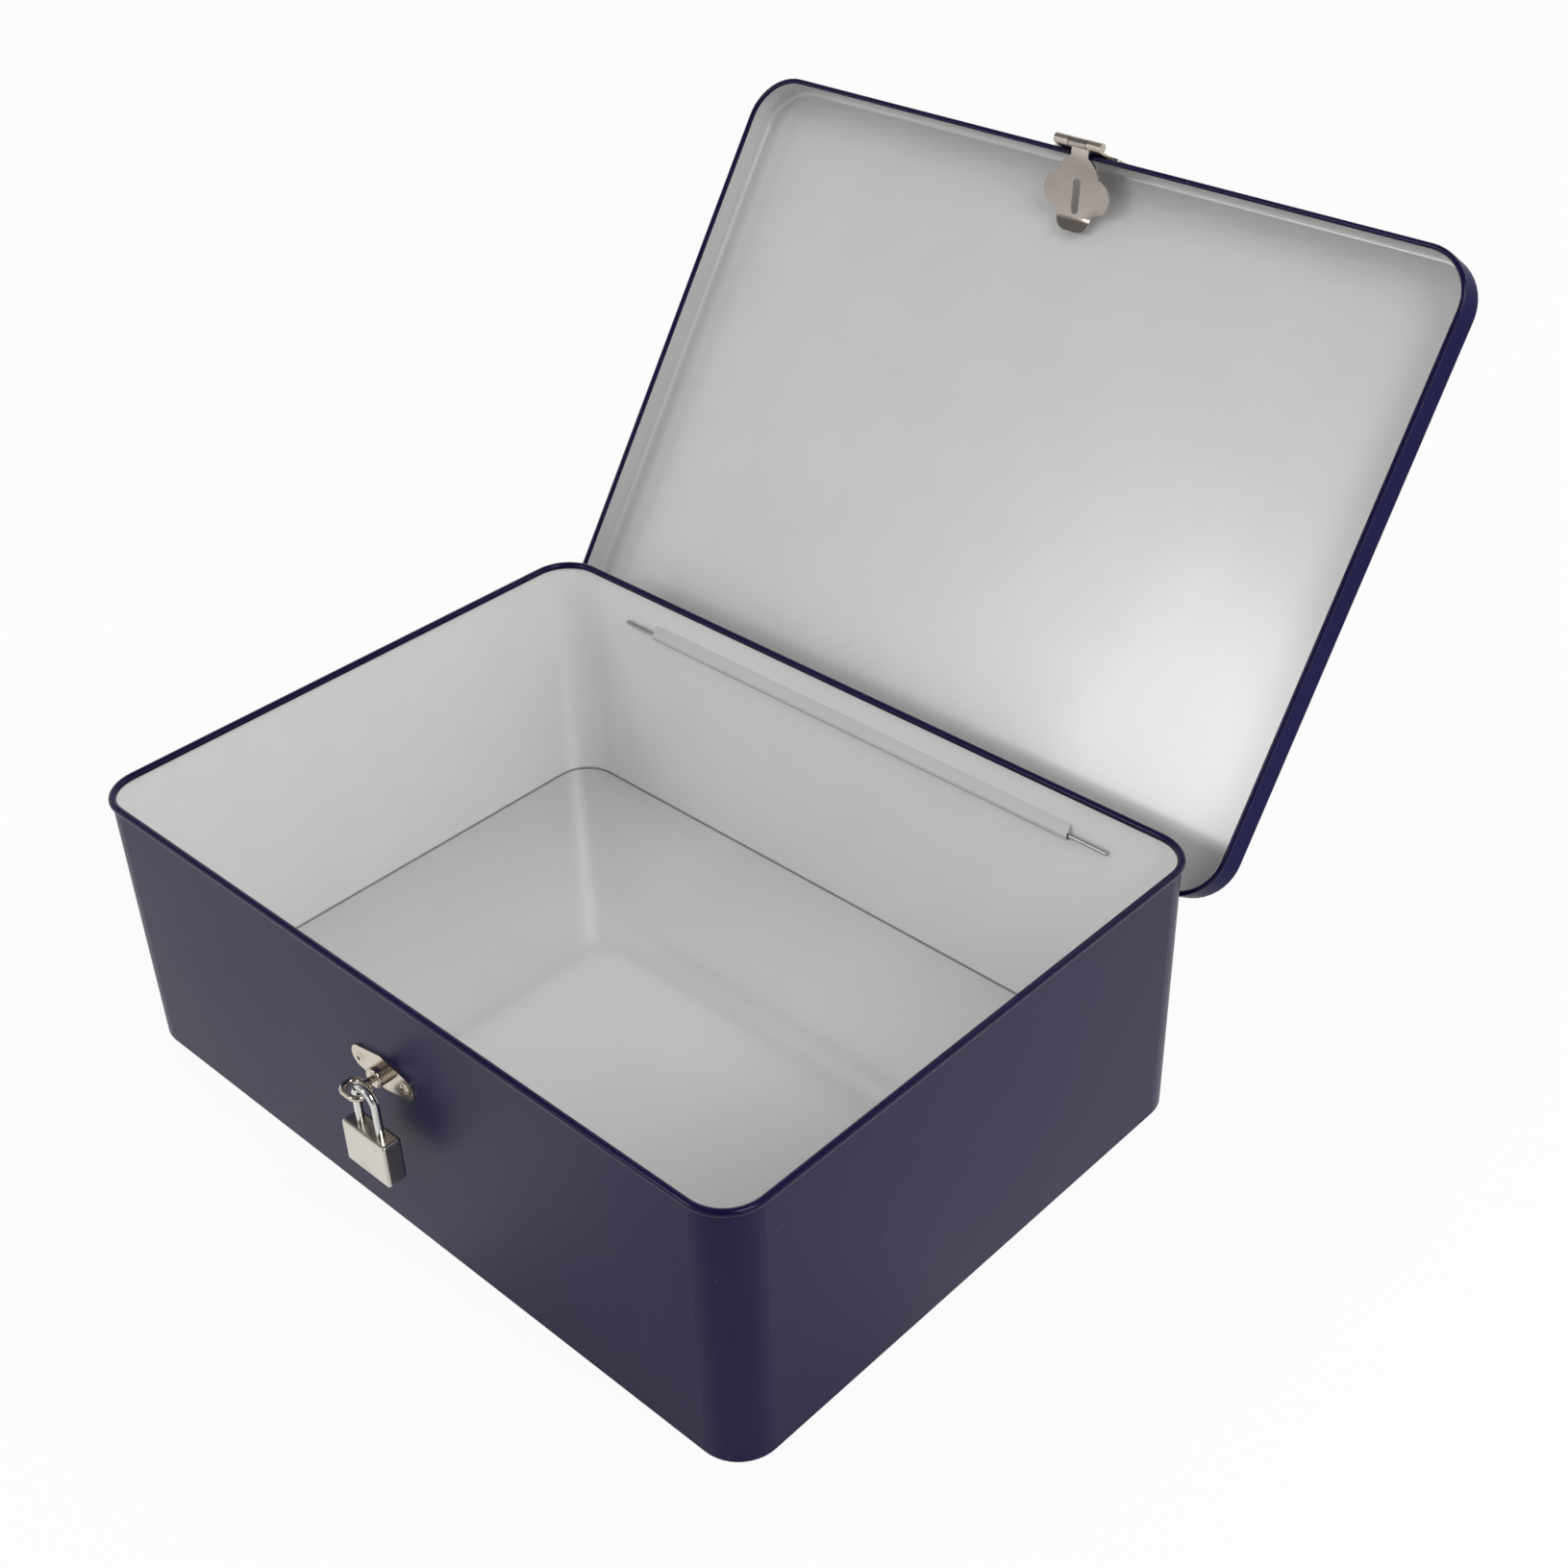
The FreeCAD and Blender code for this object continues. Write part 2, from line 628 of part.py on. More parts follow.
def rivet(name, x, z, seat, wall_back):
    """Tubular rivet: domed head with an open bore, and a small dome behind the washer."""
    back = wall_back - S.washer_gauge
    head = dome(name + "_head", "rivet_head_radius", "rivet_head_height", Vector(x, -seat, z), TO_FRONT)
    tail = dome(name + "_tail", "rivet_tail_radius", "rivet_tail_height", Vector(x, -back, z), TO_BACK)
    shank = primitive("Cylinder", name + "_shank", Radius="rivet_shank_radius",
                      Height="hasp_gauge + sheet_gauge + washer_gauge")
    shank.Placement = Placement(Vector(x, -back, z), TO_FRONT)
    bore = cylinder(name + "_bore", "rivet_bore_radius", "rivet_bore_depth",
                    Vector(x, -seat - S.rivet_head_height, z), TO_BACK)
    return cut_away(name, joined("MultiFuse", name + "_stock", [head, shank, tail]), bore)


def washer(name, x, z, wall_back):
    """Backing washer behind a wall."""
    base = Vector(x, S.washer_gauge - wall_back, z)
    disc_body = cylinder(name + "_disc", "washer_radius", "washer_gauge", base, TO_FRONT)
    hole = cylinder(name + "_hole", "rivet_hole", "washer_gauge", base, TO_FRONT)
    return cut_away(name, disc_body, hole)


def make_fasteners(prefix, offset, z, seat):
    """Two rivets and two washers, each pair as one group."""
    wall_back = seat - S.hasp_gauge - S.sheet_gauge
    sides = ((-1, "left"), (1, "right"))
    rivets = [rivet(f"{prefix}_rivet_{word}", side * offset, z, seat, wall_back) for side, word in sides]
    washers = [washer(f"{prefix}_washer_{word}", side * offset, z, wall_back) for side, word in sides]
    return joined("Compound", prefix + "_rivets", rivets), joined("Compound", prefix + "_washers", washers)


# Hasp pin and leaf

def hasp_axis(opened):
    """Place of the hasp pin's middle with the lid shut or open."""
    spot = Vector(0, -S.hasp_axis_out, S.hasp_axis_z)
    return lid_opened().multVec(spot) if opened else spot


def leaf_rest_tilt():
    """Forward lean of the hanging leaf: stiff in its knuckles, and never through the open lid's panel."""
    room = S.lid_top - S.sheet_gauge - S.hasp_axis_z - S.leaf_rest_gap
    span = math.hypot(S.leaf_tab_start, S.knuckle_radius)
    to_panel = math.degrees(math.asin(room / span) - math.atan2(S.knuckle_radius, S.leaf_tab_start))
    return max(S.leaf_rest_lean, S.lid_open_angle - 90 - to_panel)


def make_hasp_pin():
    """Pin through the hasp knuckles."""
    start = hasp_axis(True) - Vector(S.hasp_half_width, 0, 0)
    return cylinder("hasp_pin", "hasp_pin_radius", "hasp_width", start, ALONG_X)


def is_tab_corner(edge):
    """True for the short edges at the two outer corners of the finger tab."""
    box = edge.BoundBox
    return box.ZMax < 1e-6 - S.leaf_length and box.XLength < 1e-6


def make_hasp_leaf():
    """Leaf with knuckle, neck, lobes, slot and finger tab, drawn hanging from its pin at the origin."""
    body = new_body("hasp_leaf")
    blank = new_sketch(body, "XZ_Plane", "-knuckle_radius")
    draw_box(blank, "-tab_half_width", "-leaf_length", "tab_half_width", "-leaf_slot_drop")
    raise_sketch(body, "Pad", blank, "knuckle_radius - tab_front")
    round_edges(body, is_tab_corner, "leaf_tab_corner")
    waste = new_sketch(body, "YZ_Plane")
    draw_polygon(waste, [("tab_front", "-leaf_slot_drop"), ("tab_front", "-leaf_length"),
                         ("leaf_front", "-leaf_tab_start"), ("leaf_front", "-leaf_slot_drop")])
    draw_polygon(waste, [("tab_back", "-leaf_length"), ("knuckle_radius", "-leaf_length"),
                         ("knuckle_radius", "-leaf_tab_start")])
    raise_sketch(body, "Pocket", waste, "2 * leaf_tab_width", both_ways=True)
    neck = new_sketch(body, "YZ_Plane")
    draw_box(neck, "leaf_front", "-leaf_slot_drop", "knuckle_radius", "0")
    raise_sketch(body, "Pad", neck, "neck_width", both_ways=True)
    barrel = new_sketch(body, "YZ_Plane")
    draw_circle(barrel, ("0", "0"), "knuckle_radius")
    raise_sketch(body, "Pad", barrel, "neck_width", both_ways=True)
    lobes = [("0", "-leaf_crown_drop", "leaf_crown_radius")]
    lobes += [(side + "leaf_lobe_offset", "-leaf_lobe_drop", "leaf_lobe_radius") for side in ("", "-")]
    for x, z, radius in lobes:
        lobe = new_sketch(body, "XZ_Plane", "-knuckle_radius")
        draw_circle(lobe, (x, z), radius)
        raise_sketch(body, "Pad", lobe, "hasp_gauge")
    slot = new_sketch(body, "XZ_Plane")
    draw_box(slot, "-slot_half_width", "-slot_base", "slot_half_width", "-slot_top")
    raise_sketch(body, "Pocket", slot, "8 * knuckle_radius", both_ways=True)
    for end in ("-slot_base", "-slot_top"):
        rounding = new_sketch(body, "XZ_Plane")
        draw_circle(rounding, ("0", end), "slot_half_width")
        raise_sketch(body, "Pocket", rounding, "8 * knuckle_radius", both_ways=True)
    bore = new_sketch(body, "YZ_Plane")
    draw_circle(bore, ("0", "0"), "knuckle_inner")
    raise_sketch(body, "Pocket", bore, "2 * neck_width", both_ways=True)
    body.Placement = Placement(hasp_axis(True), Rotation(X_AXIS, -leaf_rest_tilt()))
    return body


# Staple

def make_staple_plate():
    """Lozenge plate with a boss for the ring's stem."""
    body = new_body("staple_plate")
    lozenge = new_sketch(body, "XZ_Plane", "half_depth")
    draw_polygon(lozenge, [("-staple_ear_offset", "staple_ear_base"), ("0", "staple_base"),
                           ("staple_ear_offset", "staple_ear_base"), ("staple_ear_offset", "staple_ear_top"),
                           ("0", "staple_top"), ("-staple_ear_offset", "staple_ear_top")])
    raise_sketch(body, "Pad", lozenge, "hasp_gauge")
    ears = new_sketch(body, "XZ_Plane", "half_depth")
    for side in ("", "-"):
        draw_circle(ears, (side + "staple_ear_offset", "staple_z"), "staple_ear_radius")
    raise_sketch(body, "Pad", ears, "hasp_gauge")
    boss = new_sketch(body, "XZ_Plane", "half_depth")
    draw_circle(boss, ("0", "staple_z"), "boss_radius")
    raise_sketch(body, "Pad", boss, "boss_rise")
    round_edges(body, lambda e: e.BoundBox.YMax < -S.boss_top + 1e-6, "boss_edge_radius")
    holes = new_sketch(body, "XZ_Plane", "half_depth")
    for side in ("", "-"):
        draw_circle(holes, (side + "staple_ear_offset", "staple_z"), "rivet_hole")
    draw_circle(holes, ("0", "staple_z"), "stem_hole")
    raise_sketch(body, "Pocket", holes, "4 * boss_rise", both_ways=True)
    return body


def make_staple_ring():
    """Closed wire ring on a round stem with a peened end."""
    ring = sweep_round(disc(0, 0, S.ring_wire_radius), S.ring_half_width, S.ring_half_depth, S.ring_corner)
    ring.translate(Vector(0, -S.ring_middle, S.staple_z))
    root = S.ring_back + S.ring_wire_radius
    stem_back = S.keeper_back - S.keeper_gauge
    stem = Part.makeCylinder(S.stem_radius, root - stem_back, Vector(0, -root, S.staple_z), Vector(0, 1, 0))
    return feature("staple_ring", ring.fuse(stem).removeSplitter())


def make_staple_keeper():
    """Washer pressed on the stem inside the wall."""
    base = Vector(0, -S.keeper_back, S.staple_z)
    disc_body = cylinder("keeper_disc", "keeper_radius", "keeper_gauge", base, TO_FRONT)
    hole = cylinder("keeper_hole", "stem_radius", "keeper_gauge", base, TO_FRONT)
    return cut_away("staple_keeper", disc_body, hole)


# Padlock

def make_shackle():
    """Shackle with a latch notch in its toe and a flat along its heel."""
    middle = Vector(S.ring_half_width, -S.ring_middle, S.arch_z)
    arch = primitive("Torus", "shackle_arch", Radius1="shackle_half_width", Radius2="shackle_wire_radius")
    arch.Angle3 = 180
    arch.Placement = Placement(middle, TO_FRONT)
    legs = []
    for word, x, depth in (("toe", S.toe_x, "toe_depth"), ("heel", S.heel_x, "heel_depth")):
        base = Vector(x, -S.ring_middle, S.case_top - number(depth))
        legs.append(cylinder(f"shackle_{word}", "shackle_wire_radius", f"arch_z - case_top + {depth}", base))
    whole = joined("MultiFuse", "shackle_blank", [arch] + legs)
    notch = primitive("Box", "toe_notch", Length="2 * shackle_wire_radius", Width="4 * shackle_wire_radius",
                      Height="latch_height + 2 * latch_fit")
    notch_x = S.toe_x + S.shackle_wire_radius - S.latch_notch_depth
    side = -S.ring_middle - 2 * S.shackle_wire_radius
    notch.Placement.Base = Vector(notch_x, side, S.slot_room_base)
    flat_cut = primitive("Box", "heel_flat", Length="2 * shackle_wire_radius", Width="4 * shackle_wire_radius",
                         Height="heel_depth - heel_pin_drop + 2 * heel_pin_radius - bore_end_gap")
    flat_x = S.heel_x + S.shackle_wire_radius - S.heel_flat_depth
    flat_cut.Placement.Base = Vector(flat_x, side, S.case_top - S.heel_depth + S.bore_end_gap)
    return cut_away("padlock_shackle", whole, joined("MultiFuse", "shackle_cuts", [notch, flat_cut]))


def make_case():
    """Padlock case with its bores and latch room."""
    body = new_body("padlock_case")
    block = new_sketch(body, "XZ_Plane", "ring_middle")
    draw_box(block, "case_left", "case_base", "case_right", "case_top")
    raise_sketch(body, "Pad", block, "case_thickness", both_ways=True)
    round_edges(body, lambda e: True, "case_edge_radius")
    for x, depth in (("toe_x", "toe_bore_depth"), ("heel_x", "heel_bore_depth")):
        bore = new_sketch(body, "XY_Plane", "case_top")
        draw_circle(bore, (x, "-ring_middle"), "bore_radius")
        raise_sketch(body, "Pocket", bore, depth)
    plug = new_sketch(body, "XY_Plane", "case_base")
    draw_circle(plug, ("plug_x", "-ring_middle"), "plug_bore")
    raise_sketch(body, "Pocket", plug, "plug_bore_height", reverse=True)
    recess = new_sketch(body, "XY_Plane", "case_base")
    draw_circle(recess, ("plug_x", "-ring_middle"), "cover_radius")
    raise_sketch(body, "Pocket", recess, "cover_gauge", reverse=True)
    room = new_sketch(body, "XZ_Plane", "ring_middle")
    draw_box(room, "slot_room_left", "slot_room_base", "slot_room_right", "slot_room_top")
    raise_sketch(body, "Pocket", room, "slot_room_width", both_ways=True)
    cross = new_sketch(body, "XZ_Plane", "ring_middle")
    draw_circle(cross, ("heel_pin_x", "heel_pin_z"), "heel_pin_radius")
    raise_sketch(body, "Pocket", cross, "2 * case_thickness", both_ways=True)
    return body


def make_cover():
    """Ring plate pressed into the case round the plug."""
    base = Vector(S.plug_x, -S.ring_middle, S.case_base)
    disc_body = cylinder("cover_disc", "cover_radius", "cover_gauge", base)
    hole = cylinder("cover_hole", "plug_bore", "cover_gauge", base)
    return cut_away("padlock_cover", disc_body, hole)


def make_plug():
    """Key plug with its keyway."""
    base = Vector(S.plug_x, -S.ring_middle, S.case_base)
    bar = cylinder("plug_bar", "plug_radius", "plug_height", base)
    keyway = primitive("Box", "keyway", Length="keyway_length", Width="keyway_width", Height="keyway_depth")
    keyway.Placement.Base = base - Vector(S.keyway_length / 2, S.keyway_width / 2, 0)
    return cut_away("padlock_plug", bar, keyway)


def make_latch():
    """Sliding latch, drawn back from the shackle's toe."""
    latch = primitive("Box", "padlock_latch", Length="latch_length", Width="latch_width", Height="latch_height")
    latch.Placement.Base = Vector(S.latch_tip, -S.ring_middle - S.latch_width / 2, S.latch_base)
    return latch


def make_heel_pin():
    """Cross pin that keeps the shackle's heel in the case."""
    base = Vector(S.heel_pin_x, -S.ring_middle + S.case_thickness / 2, S.heel_pin_z)
    return cylinder("padlock_heel_pin", "heel_pin_radius", "case_thickness", base, TO_FRONT)


def make_spring():
    """Spring under the shackle's heel, pressed to its solid length."""
    base = Vector(S.heel_x, -S.ring_middle, S.case_top - S.heel_bore_depth)
    outer = cylinder("spring_outer", "shackle_wire_radius", "spring_height", base)
    inner = cylinder("spring_inner", "shackle_wire_radius - spring_wire", "spring_height", base)
    return cut_away("padlock_spring", outer, inner)


def make_all():
    """Every piece by its node name."""
    pieces = {
        "body_wall": make_body_wall(),
        "bottom_pan": make_bottom_pan(),
        "hinge_wire": make_hinge_wire(),
        "lid_shell": make_lid_shell(),
        "hasp_plate": make_hasp_plate(),
        "hasp_pin": make_hasp_pin(),
        "hasp_leaf": make_hasp_leaf(),
        "staple_plate": make_staple_plate(),
        "staple_ring": make_staple_ring(),
        "staple_keeper": make_staple_keeper(),
        "padlock_shackle": make_shackle(),
        "padlock_case": make_case(),
        "padlock_cover": make_cover(),
        "padlock_plug": make_plug(),
        "padlock_latch": make_latch(),
        "padlock_heel_pin": make_heel_pin(),
        "padlock_spring": make_spring(),
    }
    hasp_seat = S.hasp_face + S.hasp_gauge
    hasp = make_fasteners("hasp", S.hasp_ear_offset, S.hasp_rivet_z, hasp_seat)
    staple = make_fasteners("staple", S.staple_ear_offset, S.staple_z, S.staple_face)
    for group in hasp:
        group.Placement = lid_opened()
    for group in hasp + staple:
        pieces[group.Name] = group
    return pieces


def hand_over(pieces):
    """Check every object and write each piece as its own file."""
    doc.recompute()
    bad = [o.Name for o in doc.Objects if "Invalid" in o.State or "Error" in o.State]
    for name, piece in pieces.items():
        piece.Label = name
        shape = piece.Shape
        if shape.isNull() or not shape.isValid() or not shape.Solids:
            bad.append(name)
    if bad:
        raise RuntimeError("not sound: " + ", ".join(bad))
    for name, piece in pieces.items():
        piece.Shape.exportStep(f"parts/{name}.step")
        box = piece.Shape.BoundBox
        print(f"{name}: {len(piece.Shape.Solids)} solid(s), {piece.Shape.Volume:.1f} mm3, "
              f"x {box.XMin:.2f} {box.XMax:.2f}, y {box.YMin:.2f} {box.YMax:.2f}, z {box.ZMin:.2f} {box.ZMax:.2f}")


hand_over(make_all())
print(f"leaf rest tilt {leaf_rest_tilt():.3f}, hasp axis {hasp_axis(True)}")
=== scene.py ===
"""Looks of a lockable tin box with a hasp, a turning staple and a small padlock.

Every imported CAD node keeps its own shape. This file gives each visible surface its finish: indigo lacquer
outside, bare tinplate inside, warm nickel on the hardware. It then sets the open box on a pale studio floor
and looks at it from the photograph's side.
"""

import json
import logging
import math
from abc import ABC, abstractmethod
from dataclasses import dataclass
from enum import Enum
from typing import Callable

import bpy
from mathutils import Euler, Matrix, Vector


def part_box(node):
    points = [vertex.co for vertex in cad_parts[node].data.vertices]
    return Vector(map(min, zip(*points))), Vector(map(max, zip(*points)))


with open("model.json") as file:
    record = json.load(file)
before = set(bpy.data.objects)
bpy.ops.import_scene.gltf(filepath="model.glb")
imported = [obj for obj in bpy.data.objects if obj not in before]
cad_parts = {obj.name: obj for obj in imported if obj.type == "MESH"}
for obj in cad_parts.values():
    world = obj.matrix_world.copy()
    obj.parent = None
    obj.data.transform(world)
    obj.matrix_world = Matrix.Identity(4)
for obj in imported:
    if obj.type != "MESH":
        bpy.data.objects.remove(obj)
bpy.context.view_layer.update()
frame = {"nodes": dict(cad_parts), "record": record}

LOG = logging.getLogger("tin_box")
Colour = tuple[float, float, float]
Triple = tuple[float, float, float]
# Two values between which a share rises from 0 to 1, or a way over the ground
Pair = tuple[float, float]
WHITE: Colour = (1.0, 1.0, 1.0)
NOISE_MEAN = 0.5
CELL_MIDDLE = 0.5
TINY = 0.0001

# Sockets of a Mix node that mixes colours
MIX_FACTOR, MIX_FIRST, MIX_SECOND, MIX_RESULT = 0, 6, 7, 2


# Shader bench


class Sock:
    """A shader output that takes part in Python sums."""

    def __init__(self, bench: "ShaderBench", socket: bpy.types.NodeSocket) -> None:
        """Keep the socket and the bench it stands on."""
        self.bench = bench
        self.socket = socket

    def __add__(self, other: "Sock | float") -> "Sock":
        """Sum."""
        return self.bench.maths("ADD", self, other)

    def __radd__(self, other: float) -> "Sock":
        """Sum with a number on the left."""
        return self.bench.maths("ADD", other, self)

    def __sub__(self, other: "Sock | float") -> "Sock":
        """Difference."""
        return self.bench.maths("SUBTRACT", self, other)

    def __rsub__(self, other: float) -> "Sock":
        """Difference from a number on the left."""
        return self.bench.maths("SUBTRACT", other, self)

    def __mul__(self, other: "Sock | float") -> "Sock":
        """Product."""
        return self.bench.maths("MULTIPLY", self, other)

    def __rmul__(self, other: float) -> "Sock":
        """Product with a number on the left."""
        return self.bench.maths("MULTIPLY", other, self)

    def __truediv__(self, other: "Sock | float") -> "Sock":
        """Quotient."""
        return self.bench.maths("DIVIDE", self, other)

    def __rtruediv__(self, other: float) -> "Sock":
        """Quotient of a number on the left."""
        return self.bench.maths("DIVIDE", other, self)

    def __abs__(self) -> "Sock":
        """Size without sign."""
        return self.bench.maths("ABSOLUTE", self)

    def __pow__(self, power: float) -> "Sock":
        """Power."""
        return self.bench.maths("POWER", self, power)

    def most(self, other: "Sock | float") -> "Sock":
        """The larger of two."""
        return self.bench.maths("MAXIMUM", self, other)

    def least(self, other: "Sock | float") -> "Sock":
        """The smaller of two."""
        return self.bench.maths("MINIMUM", self, other)

    def part(self) -> "Sock":
        """What is left over a whole number."""
        return self.bench.maths("FRACT", self)

    def rise(self, low: float, high: float) -> "Sock":
        """Smooth step from 0 at one value to 1 at another.

        Args:
            low: Value that gives 0.
            high: Value that gives 1, which may be the smaller one.

        Returns:
            The step.
        """
        settings = {"interpolation_type": "SMOOTHSTEP"}
        if low <= high:
            return self.bench.out(self.bench.add("ShaderNodeMapRange", settings,
                                                 {"Value": self, "From Min": low, "From Max": high}))
        return 1.0 - self.rise(high, low)


class ShaderBench:
    """Node tree on which a finish is laid out."""

    def __init__(self, tree: bpy.types.NodeTree) -> None:
        """Start from an empty tree."""
        self.tree = tree
        tree.nodes.clear()

    def add(self, kind: str, settings: dict[str, object] | None = None,
            inputs: dict[str | int, object] | None = None) -> bpy.types.Node:
        """Add one node.

        Args:
            kind: Blender's node type.
            settings: Properties of the node, set before its sockets.
            inputs: Value or link for each socket, by name or number.

        Returns:
            The node.
        """
        node = self.tree.nodes.new(kind)
        for key, setting in (settings or {}).items():
            setattr(node, key, setting)
        for key, value in (inputs or {}).items():
            self.plug(node.inputs[key], value)
        return node

    def plug(self, socket: bpy.types.NodeSocket, value: object) -> None:
        """Link a socket or set its value.

        Args:
            socket: Socket to feed.
            value: Sock to link, or a number, colour or vector to set.
        """
        if isinstance(value, Sock):
            self.tree.links.new(value.socket, socket)
        elif socket.type == "RGBA":
            socket.default_value = (*value, 1.0)
        else:
            socket.default_value = value

    def out(self, node: bpy.types.Node, key: int | str = 0) -> Sock:
        """One output of a node."""
        return Sock(self, node.outputs[key])

    def maths(self, operation: str, *values: "Sock | float") -> Sock:
        """Work out one operation on values.

        Args:
            operation: Name of the Math node's operation.
            values: One or two values.

        Returns:
            The result.
        """
        return self.out(self.add("ShaderNodeMath", {"operation": operation}, dict(enumerate(values))))

    def blend(self, factor: "Sock | float", first: "Sock | Colour", second: "Sock | Colour") -> Sock:
        """Mix two colours.

        Args:
            factor: Share of the second colour.
            first: Colour at 0.
            second: Colour at 1.

        Returns:
            The mixed colour.
        """
        inputs = {MIX_FACTOR: factor, MIX_FIRST: first, MIX_SECOND: second}
        return self.out(self.add("ShaderNodeMix", {"data_type": "RGBA"}, inputs), MIX_RESULT)

    def place(self) -> Sock:
        """Place on the piece, in metres, which moves with it."""
        return self.out(self.add("ShaderNodeTexCoord"), "Object")

    def turned(self, place: Sock, centre: Triple, angle: float) -> Sock:
        """Turn a place about a line along X.

        Args:
            place: Place to turn.
            centre: Point on the line.
            angle: Turn in radians.

        Returns:
            The turned place.
        """
        return self.out(self.add("ShaderNodeVectorRotate", {"rotation_type": "X_AXIS"},
                                 {"Vector": place, "Center": centre, "Angle": angle}))

    def split(self, place: Sock) -> tuple[Sock, Sock, Sock]:
        """The three parts of a place."""
        node = self.add("ShaderNodeSeparateXYZ", None, {0: place})
        return self.out(node, 0), self.out(node, 1), self.out(node, 2)

    def speckle(self, place: Sock, scale: float, detail: float = 2.0,
                stretch: Triple = (1.0, 1.0, 1.0)) -> Sock:
        """Noise between 0 and 1.

        Args:
            place: Place on the piece.
            scale: Noise cells per metre.
            detail: Octaves of finer noise.
            stretch: Factor on each part of the place, small along a grain.

        Returns:
            The noise.
        """
        scaled = self.add("ShaderNodeVectorMath", {"operation": "MULTIPLY"}, {0: place, 1: stretch})
        inputs = {"Vector": self.out(scaled), "Scale": scale, "Detail": detail}
        return self.out(self.add("ShaderNodeTexNoise", None, inputs))

    def bump(self, height: Sock, strength: float, distance: float) -> Sock:
        """Surface direction from a height.

        Args:
            height: Height of the surface, in units of the distance.
            strength: Share of the effect.
            distance: Metres that a height of 1 stands for.

        Returns:
            The normal.
        """
        return self.out(self.add("ShaderNodeBump", None, {"Height": height, "Strength": strength,
                                                          "Distance": distance}))

    def surface(self, inputs: dict[str | int, object]) -> None:
        """End the tree in one Principled surface.

        Args:
            inputs: Values and links of the Principled node.
        """
        shader = self.add("ShaderNodeBsdfPrincipled", None, inputs)
        self.add("ShaderNodeOutputMaterial", None, {"Surface": self.out(shader)})


# Finishes


class Grain(Enum):
    """Way that a sheet was rolled or brushed, as a factor on each direction."""

    ALONG_X = (0.012, 1.0, 1.0)
    ALONG_Z = (1.0, 1.0, 0.012)
    ROUND_WALL = (0.012, 0.012, 1.0)
    EVEN = (1.0, 1.0, 1.0)


@dataclass(frozen=True)
class Swing:
    """How a piece stands turned from the place it was pressed in."""

    pivot: Triple = (0.0, 0.0, 0.0)
    angle: float = 0.0

    def shut(self) -> Matrix:
        """Matrix that brings the piece back to its shut place."""
        centre = Matrix.Translation(self.pivot)
        return centre @ Matrix.Rotation(self.angle, 4, "X") @ centre.inverted()


@dataclass(frozen=True)
class Finish(ABC):
    """A surface finish that lays itself on a material."""

    name: str

    @abstractmethod
    def paint(self, bench: ShaderBench) -> None:
        """Lay the finish out on a bench."""

    def material(self) -> bpy.types.Material:
        """Make the material of this finish.

        Returns:
            The material.
        """
        made = bpy.data.materials.new(self.name)
        made.use_nodes = True
        self.paint(ShaderBench(made.node_tree))
        return made


@dataclass(frozen=True)
class Lacquer(Finish):
    """Stoved lacquer on tinplate, with a fine peel and a little dust."""

    colour: Colour = (0.0058, 0.0039, 0.037)
    faded: Colour = (0.0070, 0.0050, 0.043)
    dusty: Colour = (0.20, 0.20, 0.26)
    rough: float = 0.37
    gloss: float = 0.20
    sheen: Colour = (0.80, 0.77, 1.0)
    bend: float = 1.5
    coat: float = 0.02
    coat_rough: float = 0.18
    peel: float = 0.000012
    peel_share: float = 0.35
    peel_scale: float = 950.0
    cloud_scale: float = 16.0
    cloud_band: Pair = (0.30, 0.72)
    dust_scale: float = 620.0
    dust_band: Pair = (0.83, 0.89)
    dust_share: float = 0.20
    cloud_rough: float = 0.10
    peel_rough: float = 0.06
    dust_rough: float = 0.12

    def paint(self, bench: ShaderBench) -> None:
        """Lay out the lacquer: cloudy colour, peel, dust.

        Args:
            bench: Bench of the material.
        """
        place = bench.place()
        cloud = bench.speckle(place, self.cloud_scale, detail=3.0)
        peel = bench.speckle(place, self.peel_scale, detail=2.0)
        dust = bench.speckle(place, self.dust_scale, detail=0.0).rise(*self.dust_band)
        body = bench.blend(cloud.rise(*self.cloud_band), self.colour, self.faded)
        patchy = (cloud - NOISE_MEAN) * self.cloud_rough + (peel - NOISE_MEAN) * self.peel_rough
        bench.surface({"Base Color": bench.blend(dust * self.dust_share, body, self.dusty),
                       "Roughness": self.rough + patchy + dust * self.dust_rough,
                       "Specular IOR Level": self.gloss, "Specular Tint": self.sheen, "IOR": self.bend,
                       "Coat Weight": self.coat, "Coat Roughness": self.coat_rough,
                       "Normal": bench.bump(peel, self.peel_share, self.peel)})


